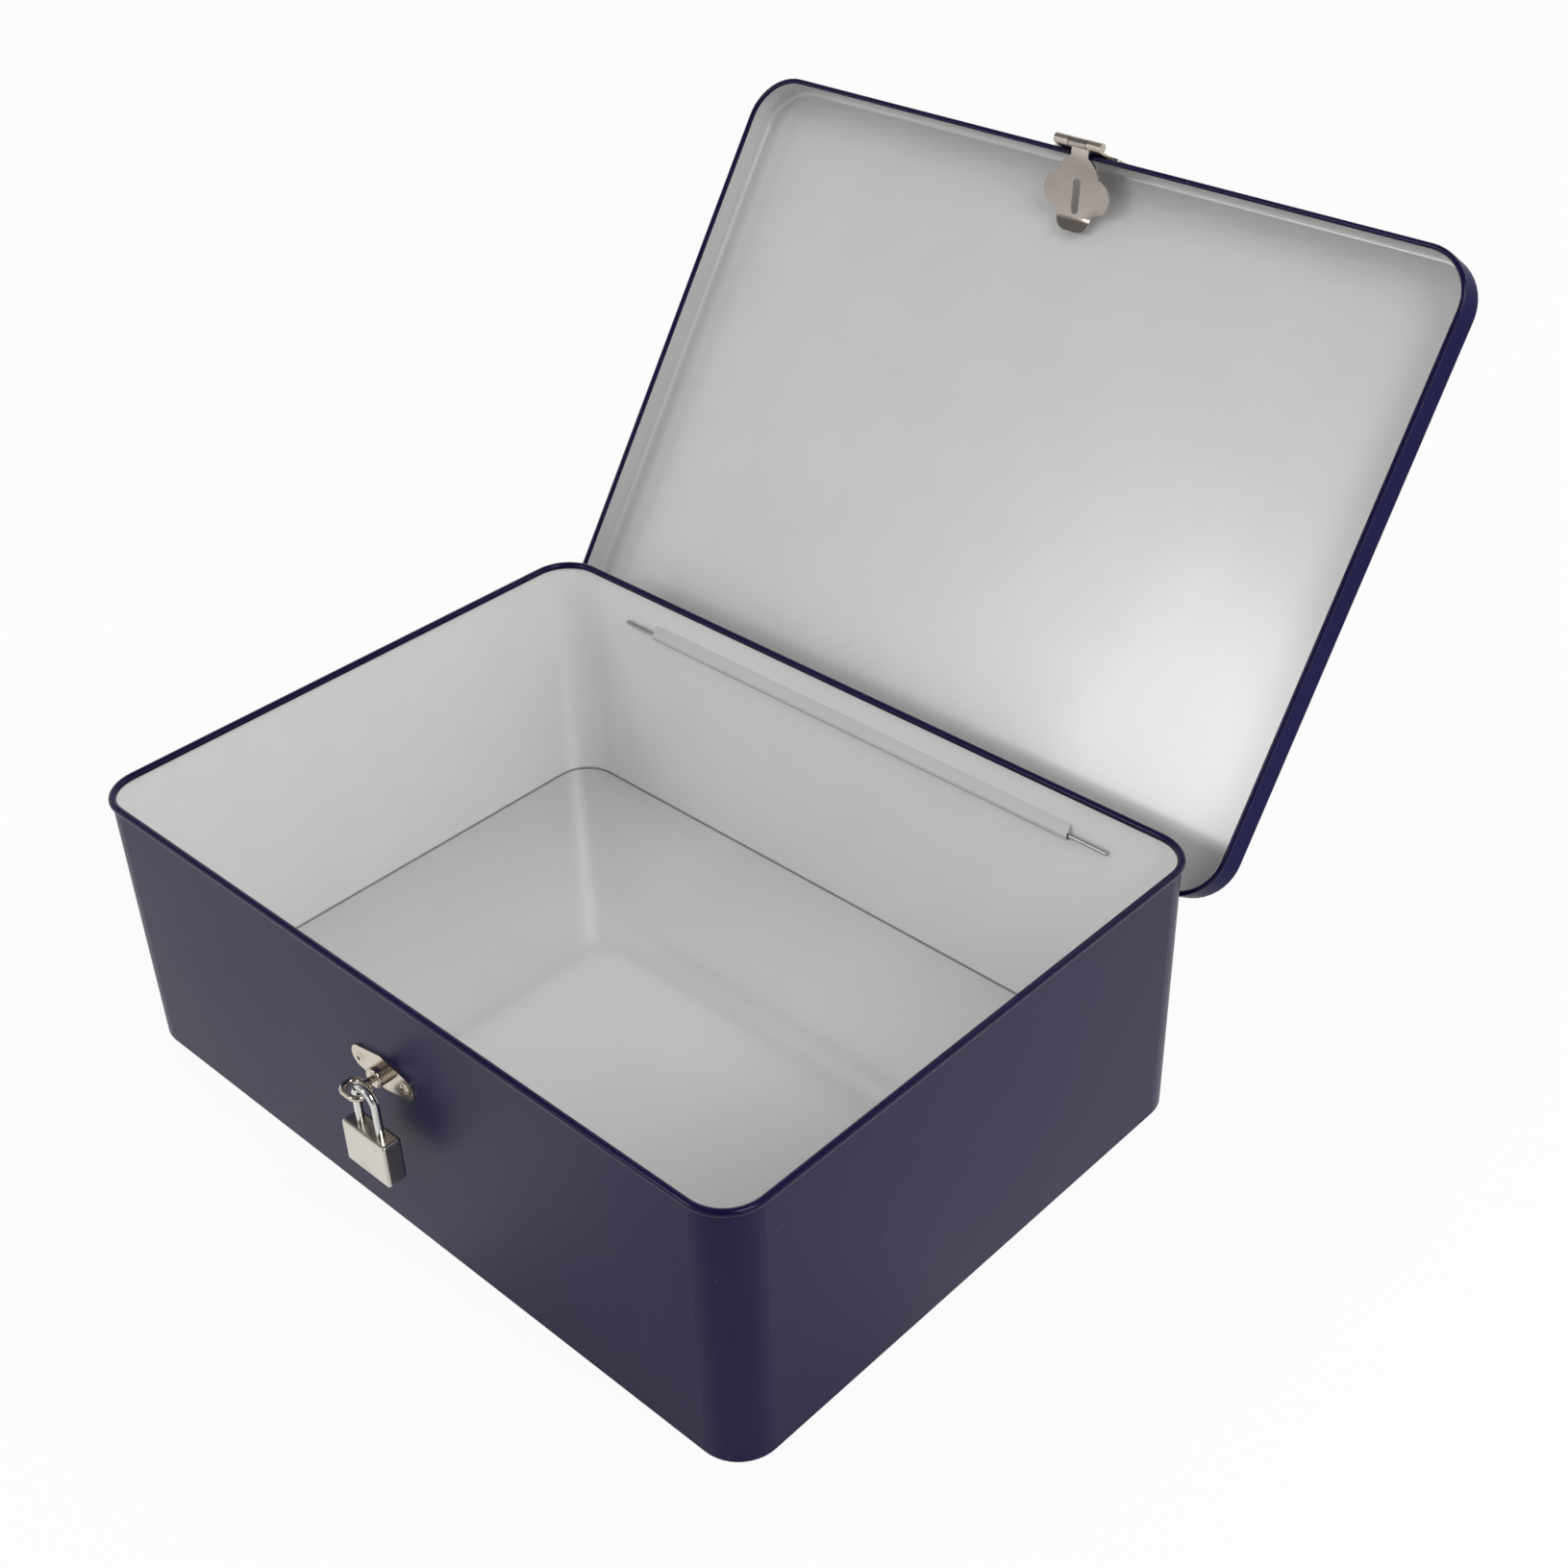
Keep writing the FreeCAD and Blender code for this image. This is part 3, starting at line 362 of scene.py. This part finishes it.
@dataclass(frozen=True)
class PrintedPanel(Finish):
    """Blue printed lid top: a lattice of fine lines and dots inside a double border."""

    swing: Swing = Swing()
    deep: Colour = (0.018, 0.018, 0.095)
    bright: Colour = (0.040, 0.085, 0.330)
    ink: Colour = (0.46, 0.56, 0.80)
    half_length: float = 0.126
    half_depth: float = 0.086
    corner: float = 0.014
    outer_line: Pair = (0.0007, 0.0004)
    inner_line: Pair = (0.0004, 0.0002)
    inner_inset: float = 0.0035
    field_edge: Pair = (-0.0055, -0.0060)
    pitch: float = 0.024
    slope: float = 1.5
    lattice_line: Pair = (0.478, 0.490)
    lattice_ink: float = 0.30
    dot_size: Pair = (0.0075, 0.0050)
    dot_ink: float = 0.75
    fade: Pair = (0.012, -0.075)
    fade_cloud: float = 0.01
    cloud_scale: float = 30.0
    cloud_rough: float = 0.08
    rough: float = 0.34
    gloss: float = 0.25
    bend: float = 1.25
    coat: float = 0.08
    coat_rough: float = 0.16
    peel: float = 0.00001
    peel_share: float = 0.3
    peel_scale: float = 950.0

    def border_distance(self, x: Sock, y: Sock) -> Sock:
        """Distance from the border's rounded rectangle, less than 0 inside it.

        Args:
            x: Place along the lid.
            y: Place across the lid.

        Returns:
            The distance in metres.
        """
        out_x = abs(x) - (self.half_length - self.corner)
        out_y = abs(y) - (self.half_depth - self.corner)
        square = out_x.most(0.0) * out_x.most(0.0) + out_y.most(0.0) * out_y.most(0.0)
        return square ** 0.5 + out_x.most(out_y).least(0.0) - self.corner

    def lattice(self, x: Sock, y: Sock) -> Sock:
        """Ink of the diamond lattice and its dots.

        Args:
            x: Place along the lid.
            y: Place across the lid.

        Returns:
            The share of ink.
        """
        near_across = abs(((x + y * self.slope) / self.pitch).part() - CELL_MIDDLE)
        near_back = abs(((x - y * self.slope) / self.pitch).part() - CELL_MIDDLE)
        lines = near_across.most(near_back).rise(*self.lattice_line)
        dots = (near_across * near_across + near_back * near_back).rise(*self.dot_size)
        return (lines * self.lattice_ink).most(dots * self.dot_ink)

    def paint(self, bench: ShaderBench) -> None:
        """Lay out the print in the lid's shut place.

        Args:
            bench: Bench of the material.
        """
        place = bench.place()
        x, y, _ = bench.split(bench.turned(place, self.swing.pivot, self.swing.angle))
        edge = self.border_distance(x, y)
        inner = abs(edge + self.inner_inset).rise(*self.inner_line)
        border = abs(edge).rise(*self.outer_line).most(inner)
        drawn = border.most(self.lattice(x, y) * edge.rise(*self.field_edge))
        cloud = bench.speckle(place, self.cloud_scale, detail=3.0)
        peel = bench.speckle(place, self.peel_scale, detail=2.0)
        shade = (edge + (cloud - NOISE_MEAN) * self.fade_cloud).rise(*self.fade)
        panel = bench.blend(shade, self.deep, self.bright)
        bench.surface({"Base Color": bench.blend(drawn, panel, self.ink),
                       "Roughness": self.rough + (cloud - NOISE_MEAN) * self.cloud_rough,
                       "Specular IOR Level": self.gloss, "IOR": self.bend,
                       "Coat Weight": self.coat, "Coat Roughness": self.coat_rough,
                       "Normal": bench.bump(peel, self.peel_share, self.peel)})


@dataclass(frozen=True)
class Tinplate(Finish):
    """Bare tinplate under a thin clear varnish, with rolling lines and shallow dents.

    A seam above 0 is the height up to which a dark line runs along the foot of the sheet.
    """

    colour: Colour = (0.640, 0.640, 0.638)
    dull: Colour = (0.615, 0.615, 0.614)
    gritty: Colour = (0.42, 0.42, 0.43)
    rough: float = 0.24
    shine: float = 0.20
    varnish: float = 0.25
    varnish_rough: float = 0.09
    grain: Grain = Grain.ALONG_X
    swing: Swing = Swing()
    line_scale: float = 2600.0
    line_share: float = 0.03
    line_rough: float = 0.02
    line_height: float = 0.0006
    stain_scale: float = 34.0
    stain_band: Pair = (0.28, 0.75)
    stain_rough: float = 0.012
    dent: float = 0.2
    dent_scale: float = 70.0
    dent_band: Pair = (0.55, 0.95)
    dent_depth: float = 0.00012
    grit_scale: float = 420.0
    grit_band: Pair = (0.76, 0.84)
    grit_share: float = 0.10
    seam: float = 0.0
    seam_blur: float = 0.0006
    seam_share: float = 0.65
    seam_colour: Colour = (0.10, 0.10, 0.10)

    def paint(self, bench: ShaderBench) -> None:
        """Lay out the tinplate: rolling lines, stains, dents, seam.

        Args:
            bench: Bench of the material.
        """
        place = bench.turned(bench.place(), self.swing.pivot, self.swing.angle)
        lines = bench.speckle(place, self.line_scale, detail=2.0, stretch=self.grain.value)
        stain = bench.speckle(place, self.stain_scale, detail=4.0)
        dents = bench.speckle(place, self.dent_scale, detail=1.0).rise(*self.dent_band)
        grit = bench.speckle(place, self.grit_scale, detail=1.0).rise(*self.grit_band)
        body = bench.blend(stain.rise(*self.stain_band), self.colour, self.dull)
        specks = (lines - NOISE_MEAN) * self.line_share + grit * self.grit_share
        colour = bench.blend(specks, body, self.gritty)
        if self.seam > 0.0:
            low = bench.split(place)[2].rise(self.seam, self.seam - self.seam_blur)
            colour = bench.blend(low * self.seam_share, colour, self.seam_colour)
        patchy = (lines - NOISE_MEAN) * self.line_rough + (stain - NOISE_MEAN) * self.stain_rough
        height = dents + lines * self.line_height
        bench.surface({"Base Color": colour, "Metallic": self.shine, "Roughness": self.rough + patchy,
                       "Coat Weight": self.varnish, "Coat Roughness": self.varnish_rough,
                       "Normal": bench.bump(height, self.dent, self.dent_depth)})


@dataclass(frozen=True)
class Plating(Finish):
    """Plated or plain metal with a brushed grain and slight tarnish."""

    colour: Colour = (0.64, 0.57, 0.49)
    tarnish: Colour = (0.50, 0.44, 0.37)
    rough: float = 0.20
    grain: Grain = Grain.EVEN
    scratch: float = 0.12
    brush_scale: float = 9000.0
    brush_depth: float = 0.000004
    brush_rough: float = 0.6
    cloud_scale: float = 90.0
    cloud_band: Pair = (0.40, 0.80)
    cloud_share: float = 0.5
    cloud_rough: float = 0.04

    def relief(self, _bench: ShaderBench, _place: Sock, brush: Sock) -> Sock:
        """Height of the surface over its flat, in metres."""
        return brush * (self.scratch * self.brush_depth)

    def paint(self, bench: ShaderBench) -> None:
        """Lay out the plating: brush lines, tarnish, fine relief.

        Args:
            bench: Bench of the material.
        """
        place = bench.place()
        brush = bench.speckle(place, self.brush_scale, detail=2.0, stretch=self.grain.value)
        cloud = bench.speckle(place, self.cloud_scale, detail=2.0)
        lines = (brush - NOISE_MEAN) * self.scratch
        worn = cloud.rise(*self.cloud_band) * self.cloud_share + lines
        rough = self.rough + lines * self.brush_rough + (cloud - NOISE_MEAN) * self.cloud_rough
        bench.surface({"Base Color": bench.blend(worn, self.colour, self.tarnish), "Metallic": 1.0,
                       "Roughness": rough,
                       "Normal": bench.bump(self.relief(bench, place, brush), 1.0, 1.0)})


@dataclass(frozen=True)
class LeafPlating(Plating):
    """Plating of a stamped leaf with a slight crown and a rounded finger tab."""

    crown: float = 0.0020
    reach: float = 0.013
    middle: float = 0.0
    tab_top: float = 0.0
    tab_round: float = 210.0

    def relief(self, bench: ShaderBench, place: Sock, brush: Sock) -> Sock:
        """Height of the surface over its flat: brush lines, crown and tab.

        Args:
            bench: Bench to lay it out on.
            place: Place on the piece.
            brush: Brush lines between 0 and 1.

        Returns:
            The height in metres.
        """
        x, _, z = bench.split(place)
        out_x, out_z = x / self.reach, (z - self.middle) / self.reach
        down = (self.tab_top - z).most(0.0)
        crown = (out_x * out_x + out_z * out_z) * (0.5 * self.crown)
        return super().relief(bench, place, brush) - crown + down * down * (0.5 * self.tab_round)


# Lacquer of the rolled rims: glossier than the walls, and painted darker, which is painted shade for the
# rolled bead's dark look.
RIM_LACQUER_PAINTED_SHADE = Lacquer("rim_lacquer_painted_shade", colour=(0.0044, 0.0028, 0.029), faded=(0.0054, 0.0036, 0.035),
                      rough=0.20, gloss=0.22, coat=0.12, coat_rough=0.06, peel=0.000005)
NICKEL_RIVET = Plating("nickel_rivet", rough=0.18, scratch=0.12)
WIRE_STEEL = Plating("wire_steel", colour=(0.55, 0.55, 0.55), tarnish=(0.36, 0.35, 0.34), rough=0.30,
                     scratch=0.16)
BRASS = Plating("plug_brass", colour=(0.66, 0.50, 0.22), tarnish=(0.45, 0.32, 0.13), rough=0.26, scratch=0.2)


# Sub-assemblies


class Side(Enum):
    """Side of a formed sheet, numbered as its material slots.

    PRESSED is the wall's hinge channel, or the printed top of the lid.
    """

    OUTSIDE = 0
    RIM = 1
    INSIDE = 2
    PRESSED = 3


def lay(node: str, *finishes: Finish) -> None:
    """Give a CAD node its finishes, one material slot each.

    Args:
        node: Name of the node.
        finishes: Finish of each slot.
    """
    materials = frame["nodes"][node].data.materials
    materials.clear()
    for finish in finishes:
        materials.append(bpy.data.materials.get(finish.name) or finish.material())
    LOG.info("%s: %s", node, ", ".join(finish.name for finish in finishes))


def sort_sides(node: str, side_of: Callable[[Vector, Vector], Side]) -> None:
    """Put every face of a formed sheet in the slot of its side.

    Args:
        node: Name of the node.
        side_of: Gives the side of a face from its middle and its direction.
    """
    for face in frame["nodes"][node].data.polygons:
        face.material_index = side_of(face.center.copy(), face.normal.copy()).value


@dataclass(frozen=True)
class BoxBody:
    """Wall, floor pan and hinge wire."""

    rim_top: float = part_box("body_wall")[1].z
    rim_reach: float = 0.0032
    pan_top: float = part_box("bottom_pan")[1].z
    pan_slack: float = 0.0001
    seam_rise: float = 0.0009
    wire_low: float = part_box("hinge_wire")[0].z
    wire_high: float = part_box("hinge_wire")[1].z
    wire_back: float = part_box("hinge_wire")[1].y
    channel_back: float = 0.0001
    channel_front: float = 0.0077
    channel_half: float = 0.0965
    channel_reach: float = 0.0072
    hollow: Triple = (0.0, 0.0, 0.050)

    def side_of(self, spot: Vector, way: Vector) -> Side:
        """Side of the wall that a face belongs to.

        Args:
            spot: Middle of the face.
            way: Direction of the face.

        Returns:
            The side, PRESSED in the hinge channel.
        """
        if spot.z > self.rim_top - self.rim_reach:
            return Side.RIM
        beside_wire = self.channel_back < self.wire_back - spot.y < self.channel_front
        near_wire = self.wire_low - self.channel_reach < spot.z < self.wire_high + self.channel_reach
        if beside_wire and near_wire and abs(spot.x) < self.channel_half:
            return Side.PRESSED
        if spot.z > self.pan_top + self.pan_slack and way.dot(Vector(self.hollow) - spot) > 0.0:
            return Side.INSIDE
        return Side.OUTSIDE

    def dress(self) -> None:
        """Lay the finishes of the box."""
        wall = Tinplate("tinplate_wall", colour=(0.80, 0.80, 0.798), dull=(0.78, 0.78, 0.778), rough=0.34,
                        shine=0.13, varnish=0.08, grain=Grain.ROUND_WALL,
                        seam=self.pan_top + self.seam_rise)
        # The pressed hinge channel is the wall's own tinplate, painted darker and dull: painted shade that
        # keeps its lit flanks down to a faint line.
        channel = Tinplate("tinplate_channel_painted_shade", colour=(0.50, 0.50, 0.498), dull=(0.48, 0.48, 0.478),
                           rough=0.45, shine=0.0, varnish=0.0)
        pan = Tinplate("tinplate_floor", colour=(0.625, 0.625, 0.623), dull=(0.612, 0.612, 0.611), rough=0.13,
                       shine=0.38, dent=0.04)
        lay("body_wall", Lacquer("indigo_lacquer"), RIM_LACQUER_PAINTED_SHADE, wall, channel)
        sort_sides("body_wall", self.side_of)
        lay("bottom_pan", pan)
        lay("hinge_wire", WIRE_STEEL)


@dataclass(frozen=True)
class LidTray:
    """Drawn lid with its curled edge and printed top."""

    swing: Swing
    top: float
    top_slack: float = 0.00002
    top_flat: float = 0.99
    depth: float = 0.01295
    rim_reach: float = 0.0030
    hollow_drop: float = 0.00915

    def side_of(self, spot: Vector, way: Vector) -> Side:
        """Side of the lid that a face belongs to.

        Args:
            spot: Middle of the face.
            way: Direction of the face.

        Returns:
            The side, PRESSED on the printed top.
        """
        shut = self.swing.shut()
        spot = shut @ spot
        way = shut.to_3x3() @ way
        if spot.z > self.top - self.top_slack and way.z > self.top_flat:
            return Side.PRESSED
        if spot.z < self.top - self.depth + self.rim_reach:
            return Side.RIM
        if way.dot(Vector((0.0, 0.0, self.top - self.hollow_drop)) - spot) > 0.0:
            return Side.INSIDE
        return Side.OUTSIDE

    def dress(self) -> None:
        """Lay the finishes of the lid."""
        skirt = Lacquer("lid_lacquer", colour=(0.0066, 0.0045, 0.052), faded=(0.0080, 0.0057, 0.060),
                        rough=0.30, gloss=0.12, bend=1.15, coat=0.0)
        inside = Tinplate("tinplate_lid", colour=(0.61, 0.61, 0.608), dull=(0.59, 0.59, 0.588), rough=0.30,
                          swing=self.swing)
        lay("lid_shell", skirt, RIM_LACQUER_PAINTED_SHADE, inside, PrintedPanel("printed_top", swing=self.swing))
        sort_sides("lid_shell", self.side_of)


@dataclass(frozen=True)
class HaspSet:
    """Hasp plate, its rivets and washers, the pin and the hanging leaf."""

    face_turn: float = 0.30
    tab: float = 0.0052

    def side_of(self, _spot: Vector, way: Vector) -> Side:
        """Side of the leaf that a face belongs to, whose flat looks along Y as it hangs."""
        return Side.RIM if abs(way.y) < self.face_turn else Side.OUTSIDE

    def dress(self) -> None:
        """Lay the finishes of the hasp."""
        low, high = (corner.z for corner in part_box("hasp_leaf"))
        leaf = LeafPlating("nickel_leaf", colour=(0.50, 0.44, 0.40), tarnish=(0.40, 0.35, 0.32), rough=0.14,
                           grain=Grain.ALONG_Z, scratch=0.14, middle=(low + high) / 2.0,
                           tab_top=low + self.tab)
        # The leaf's cut edges get a much paler nickel than its faces: a painted highlight along the edges, in
        # place of the shine that rounded edges would have.
        edge = Plating("nickel_leaf_edge_highlight", colour=(0.80, 0.75, 0.68), tarnish=(0.70, 0.65, 0.58), rough=0.12)
        lay("hasp_plate", Plating("nickel_hasp_plate", rough=0.19, grain=Grain.ALONG_X))
        for node in ("hasp_rivets", "hasp_washers", "hasp_pin"):
            lay(node, NICKEL_RIVET)
        lay("hasp_leaf", leaf, edge)
        sort_sides("hasp_leaf", self.side_of)


@dataclass(frozen=True)
class StapleSet:
    """Staple plate, its rivets and washers, the turning ring and its keeper."""

    def dress(self) -> None:
        """Lay the finishes of the staple."""
        lay("staple_plate", Plating("nickel_staple_plate", rough=0.18, grain=Grain.ALONG_X))
        for node in ("staple_rivets", "staple_washers", "staple_keeper"):
            lay(node, NICKEL_RIVET)
        lay("staple_ring", Plating("nickel_ring", rough=0.13, scratch=0.08))


@dataclass(frozen=True)
class Padlock:
    """Small padlock on the staple ring."""

    def dress(self) -> None:
        """Lay the finishes of the padlock."""
        lay("padlock_case", Plating("nickel_case", colour=(0.66, 0.63, 0.56), rough=0.24, grain=Grain.ALONG_X,
                                    scratch=0.24))
        lay("padlock_shackle", Plating("bright_shackle", colour=(0.70, 0.70, 0.69),
                                       tarnish=(0.55, 0.54, 0.52), rough=0.12, scratch=0.08))
        for node in ("padlock_cover", "padlock_plug"):
            lay(node, BRASS)
        for node in ("padlock_latch", "padlock_heel_pin", "padlock_spring"):
            lay(node, WIRE_STEEL)


# Studio


@dataclass(frozen=True)
class Lamp:
    """One soft square lamp."""

    name: str
    place: Triple
    power: float
    width: float
    aim: Triple = (0.0, 0.05, 0.08)

    def build(self) -> None:
        """Hang the lamp and point it."""
        data = bpy.data.lights.new(self.name, "AREA")
        data.energy = self.power
        data.size = self.width
        lamp = bpy.data.objects.new(self.name, data)
        lamp.location = self.place
        lamp.rotation_mode = "QUATERNION"
        lamp.rotation_quaternion = (Vector(self.aim) - Vector(self.place)).to_track_quat("-Z", "Y")
        bpy.context.scene.collection.objects.link(lamp)
        LOG.info("%s: %.0f W", self.name, self.power)


@dataclass(frozen=True)
class Studio:
    """Pale floor, soft lamps and an even white surround with a dark side and a white board."""

    lamps: tuple[Lamp, ...] = (Lamp("key_lamp", (-0.55, -1.15, 0.85), 2.2, 0.35),
                               Lamp("side_lamp", (1.15, -0.15, 1.35), 10.0, 0.7),
                               Lamp("back_lamp", (0.3, 1.5, 1.5), 3.0, 1.0))
    floor_half: float = 30.0
    floor_matte: Colour = (0.62, 0.62, 0.62)
    floor_glow: float = 0.93
    near_floor: Pair = (0.30, 0.05)
    near_glow: float = 0.75
    far_glow: float = 0.15
    surround: float = 0.935
    zenith: float = 0.20
    zenith_band: Pair = (0.08, 0.62)
    dark_side: Pair = (0.70, -0.71)
    dark_band: Pair = (0.72, 0.99)
    dark_mirrored: float = 0.8
    dark_soft: float = 0.5
    board_side: Pair = (-0.78, 0.62)
    board_band: Pair = (0.55, 0.85)
    board_top: Pair = (0.735, 0.655)
    board_glow: float = 0.66

    def rays(self, bench: ShaderBench) -> tuple[Sock, Sock]:
        """Rays that show the background itself.

        Args:
            bench: Bench that the rays are read on.

        Returns:
            1 for the camera's own rays, and 1 for mirrored and passing ones.
        """
        path = bench.add("ShaderNodeLightPath")
        mirror = bench.out(path, "Is Glossy Ray").most(bench.out(path, "Is Transmission Ray"))
        return bench.out(path, "Is Camera Ray"), mirror

    def toward(self, x: Sock, y: Sock, way: Pair) -> Sock:
        """How well a place or direction agrees with one way over the ground.

        Args:
            x: Place or direction along X.
            y: Place or direction along Y.
            way: The way, of length 1.

        Returns:
            1 along the way, -1 against it.
        """
        return (x * way[0] + y * way[1]) / (x * x + y * y + TINY) ** 0.5

    def away(self, x: Sock, y: Sock) -> Sock:
        """Share of the room's dark side, where no lamp or white wall stands."""
        return self.toward(x, y, self.dark_side).rise(*self.dark_band)

    def build_floor(self) -> None:
        """Lay the floor, which keeps a soft shadow."""
        half = self.floor_half
        mesh = bpy.data.meshes.new("studio_floor")
        mesh.from_pydata([(-half, -half, 0.0), (half, -half, 0.0), (half, half, 0.0), (-half, half, 0.0)], [],
                         [(0, 1, 2, 3)])
        floor = bpy.data.objects.new("studio_floor", mesh)
        bpy.context.scene.collection.objects.link(floor)
        material = bpy.data.materials.new("studio_floor")
        material.use_nodes = True
        bench = ShaderBench(material.node_tree)
        matte = bench.add("ShaderNodeBsdfDiffuse", None, {"Color": self.floor_matte})
        glow = bench.add("ShaderNodeEmission", None, {"Color": WHITE, "Strength": 1.0})
        camera, mirror = self.rays(bench)
        x, y, _ = bench.split(bench.place())
        near = (x * x + y * y).rise(*self.near_floor)
        lit = (near * self.near_glow + self.far_glow) * (1.0 - self.away(x, y) * self.dark_mirrored)
        mix = bench.add("ShaderNodeMixShader", None, {0: (camera + mirror * lit) * self.floor_glow,
                                                      1: bench.out(matte), 2: bench.out(glow)})
        bench.add("ShaderNodeOutputMaterial", None, {"Surface": bench.out(mix)})
        mesh.materials.append(material)

    def build_surround(self) -> None:
        """Light the scene evenly, white where the background shows."""
        world = bpy.data.worlds.new("studio_surround")
        world.use_nodes = True
        bpy.context.scene.world = world
        bench = ShaderBench(world.node_tree)
        camera, mirror = self.rays(bench)
        x, y, up = bench.split(bench.out(bench.add("ShaderNodeTexCoord"), "Generated"))
        away = self.away(x, y)
        sky = 1.0 - up.rise(*self.zenith_band) * (1.0 - self.zenith)
        board = self.toward(x, y, self.board_side).rise(*self.board_band) * up.rise(*self.board_top)
        shine = (sky * (1.0 - away * self.dark_mirrored)).most(board * self.board_glow)
        soft = (1.0 - away * self.dark_soft) * self.surround
        strength = camera + (1.0 - camera) * (mirror * shine + (1.0 - mirror) * soft)
        back = bench.add("ShaderNodeBackground", None, {"Color": WHITE, "Strength": strength})
        bench.add("ShaderNodeOutputWorld", None, {"Surface": bench.out(back)})

    def build(self) -> None:
        """Set up floor, surround and lamps."""
        bpy.context.scene.view_settings.view_transform = "Standard"
        self.build_floor()
        self.build_surround()
        for lamp in self.lamps:
            lamp.build()


@dataclass(frozen=True)
class PhotoCamera:
    """Camera at the photograph's angle, worked out for a square picture."""

    place: Triple = (0.41999, -0.36130, 0.49610)
    tilt: Triple = (55.0435, 1.5792, 43.1622)
    lens: float = 49.8685
    sensor: float = 36.0
    nearest: float = 0.01

    def build(self) -> None:
        """Set the camera up."""
        data = bpy.data.cameras.new("photo_camera")
        data.sensor_fit = "HORIZONTAL"
        data.sensor_width = self.sensor
        data.lens = self.lens
        data.clip_start = self.nearest
        camera = bpy.data.objects.new("photo_camera", data)
        camera.location = self.place
        camera.rotation_euler = Euler([math.radians(angle) for angle in self.tilt], "XYZ")
        bpy.context.scene.collection.objects.link(camera)
        bpy.context.scene.camera = camera


def lid_swing() -> Swing:
    """Turn of the open lid from its shut place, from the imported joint.

    Returns:
        The lid's swing.
    """
    joint = next(made for made in frame["record"]["behaviour"]["joints"] if made["name"] == "lid_hinge")
    return Swing(tuple(joint["pos_m"]), math.radians(-min(joint["range_deg"])))


def lid_top(swing: Swing) -> float:
    """Height of the lid's top when it is shut."""
    shut = swing.shut()
    return max((shut @ corner.co).z for corner in frame["nodes"]["lid_shell"].data.vertices)


def main() -> None:
    """Dress every sub-assembly, then set up the studio and the camera."""
    logging.basicConfig(level=logging.INFO, format="%(message)s")
    swing = lid_swing()
    for assembly in (BoxBody(), LidTray(swing, lid_top(swing)), HaspSet(), StapleSet(), Padlock()):
        assembly.dress()
    Studio().build()
    PhotoCamera().build()


if __name__ == "__main__":
    main()
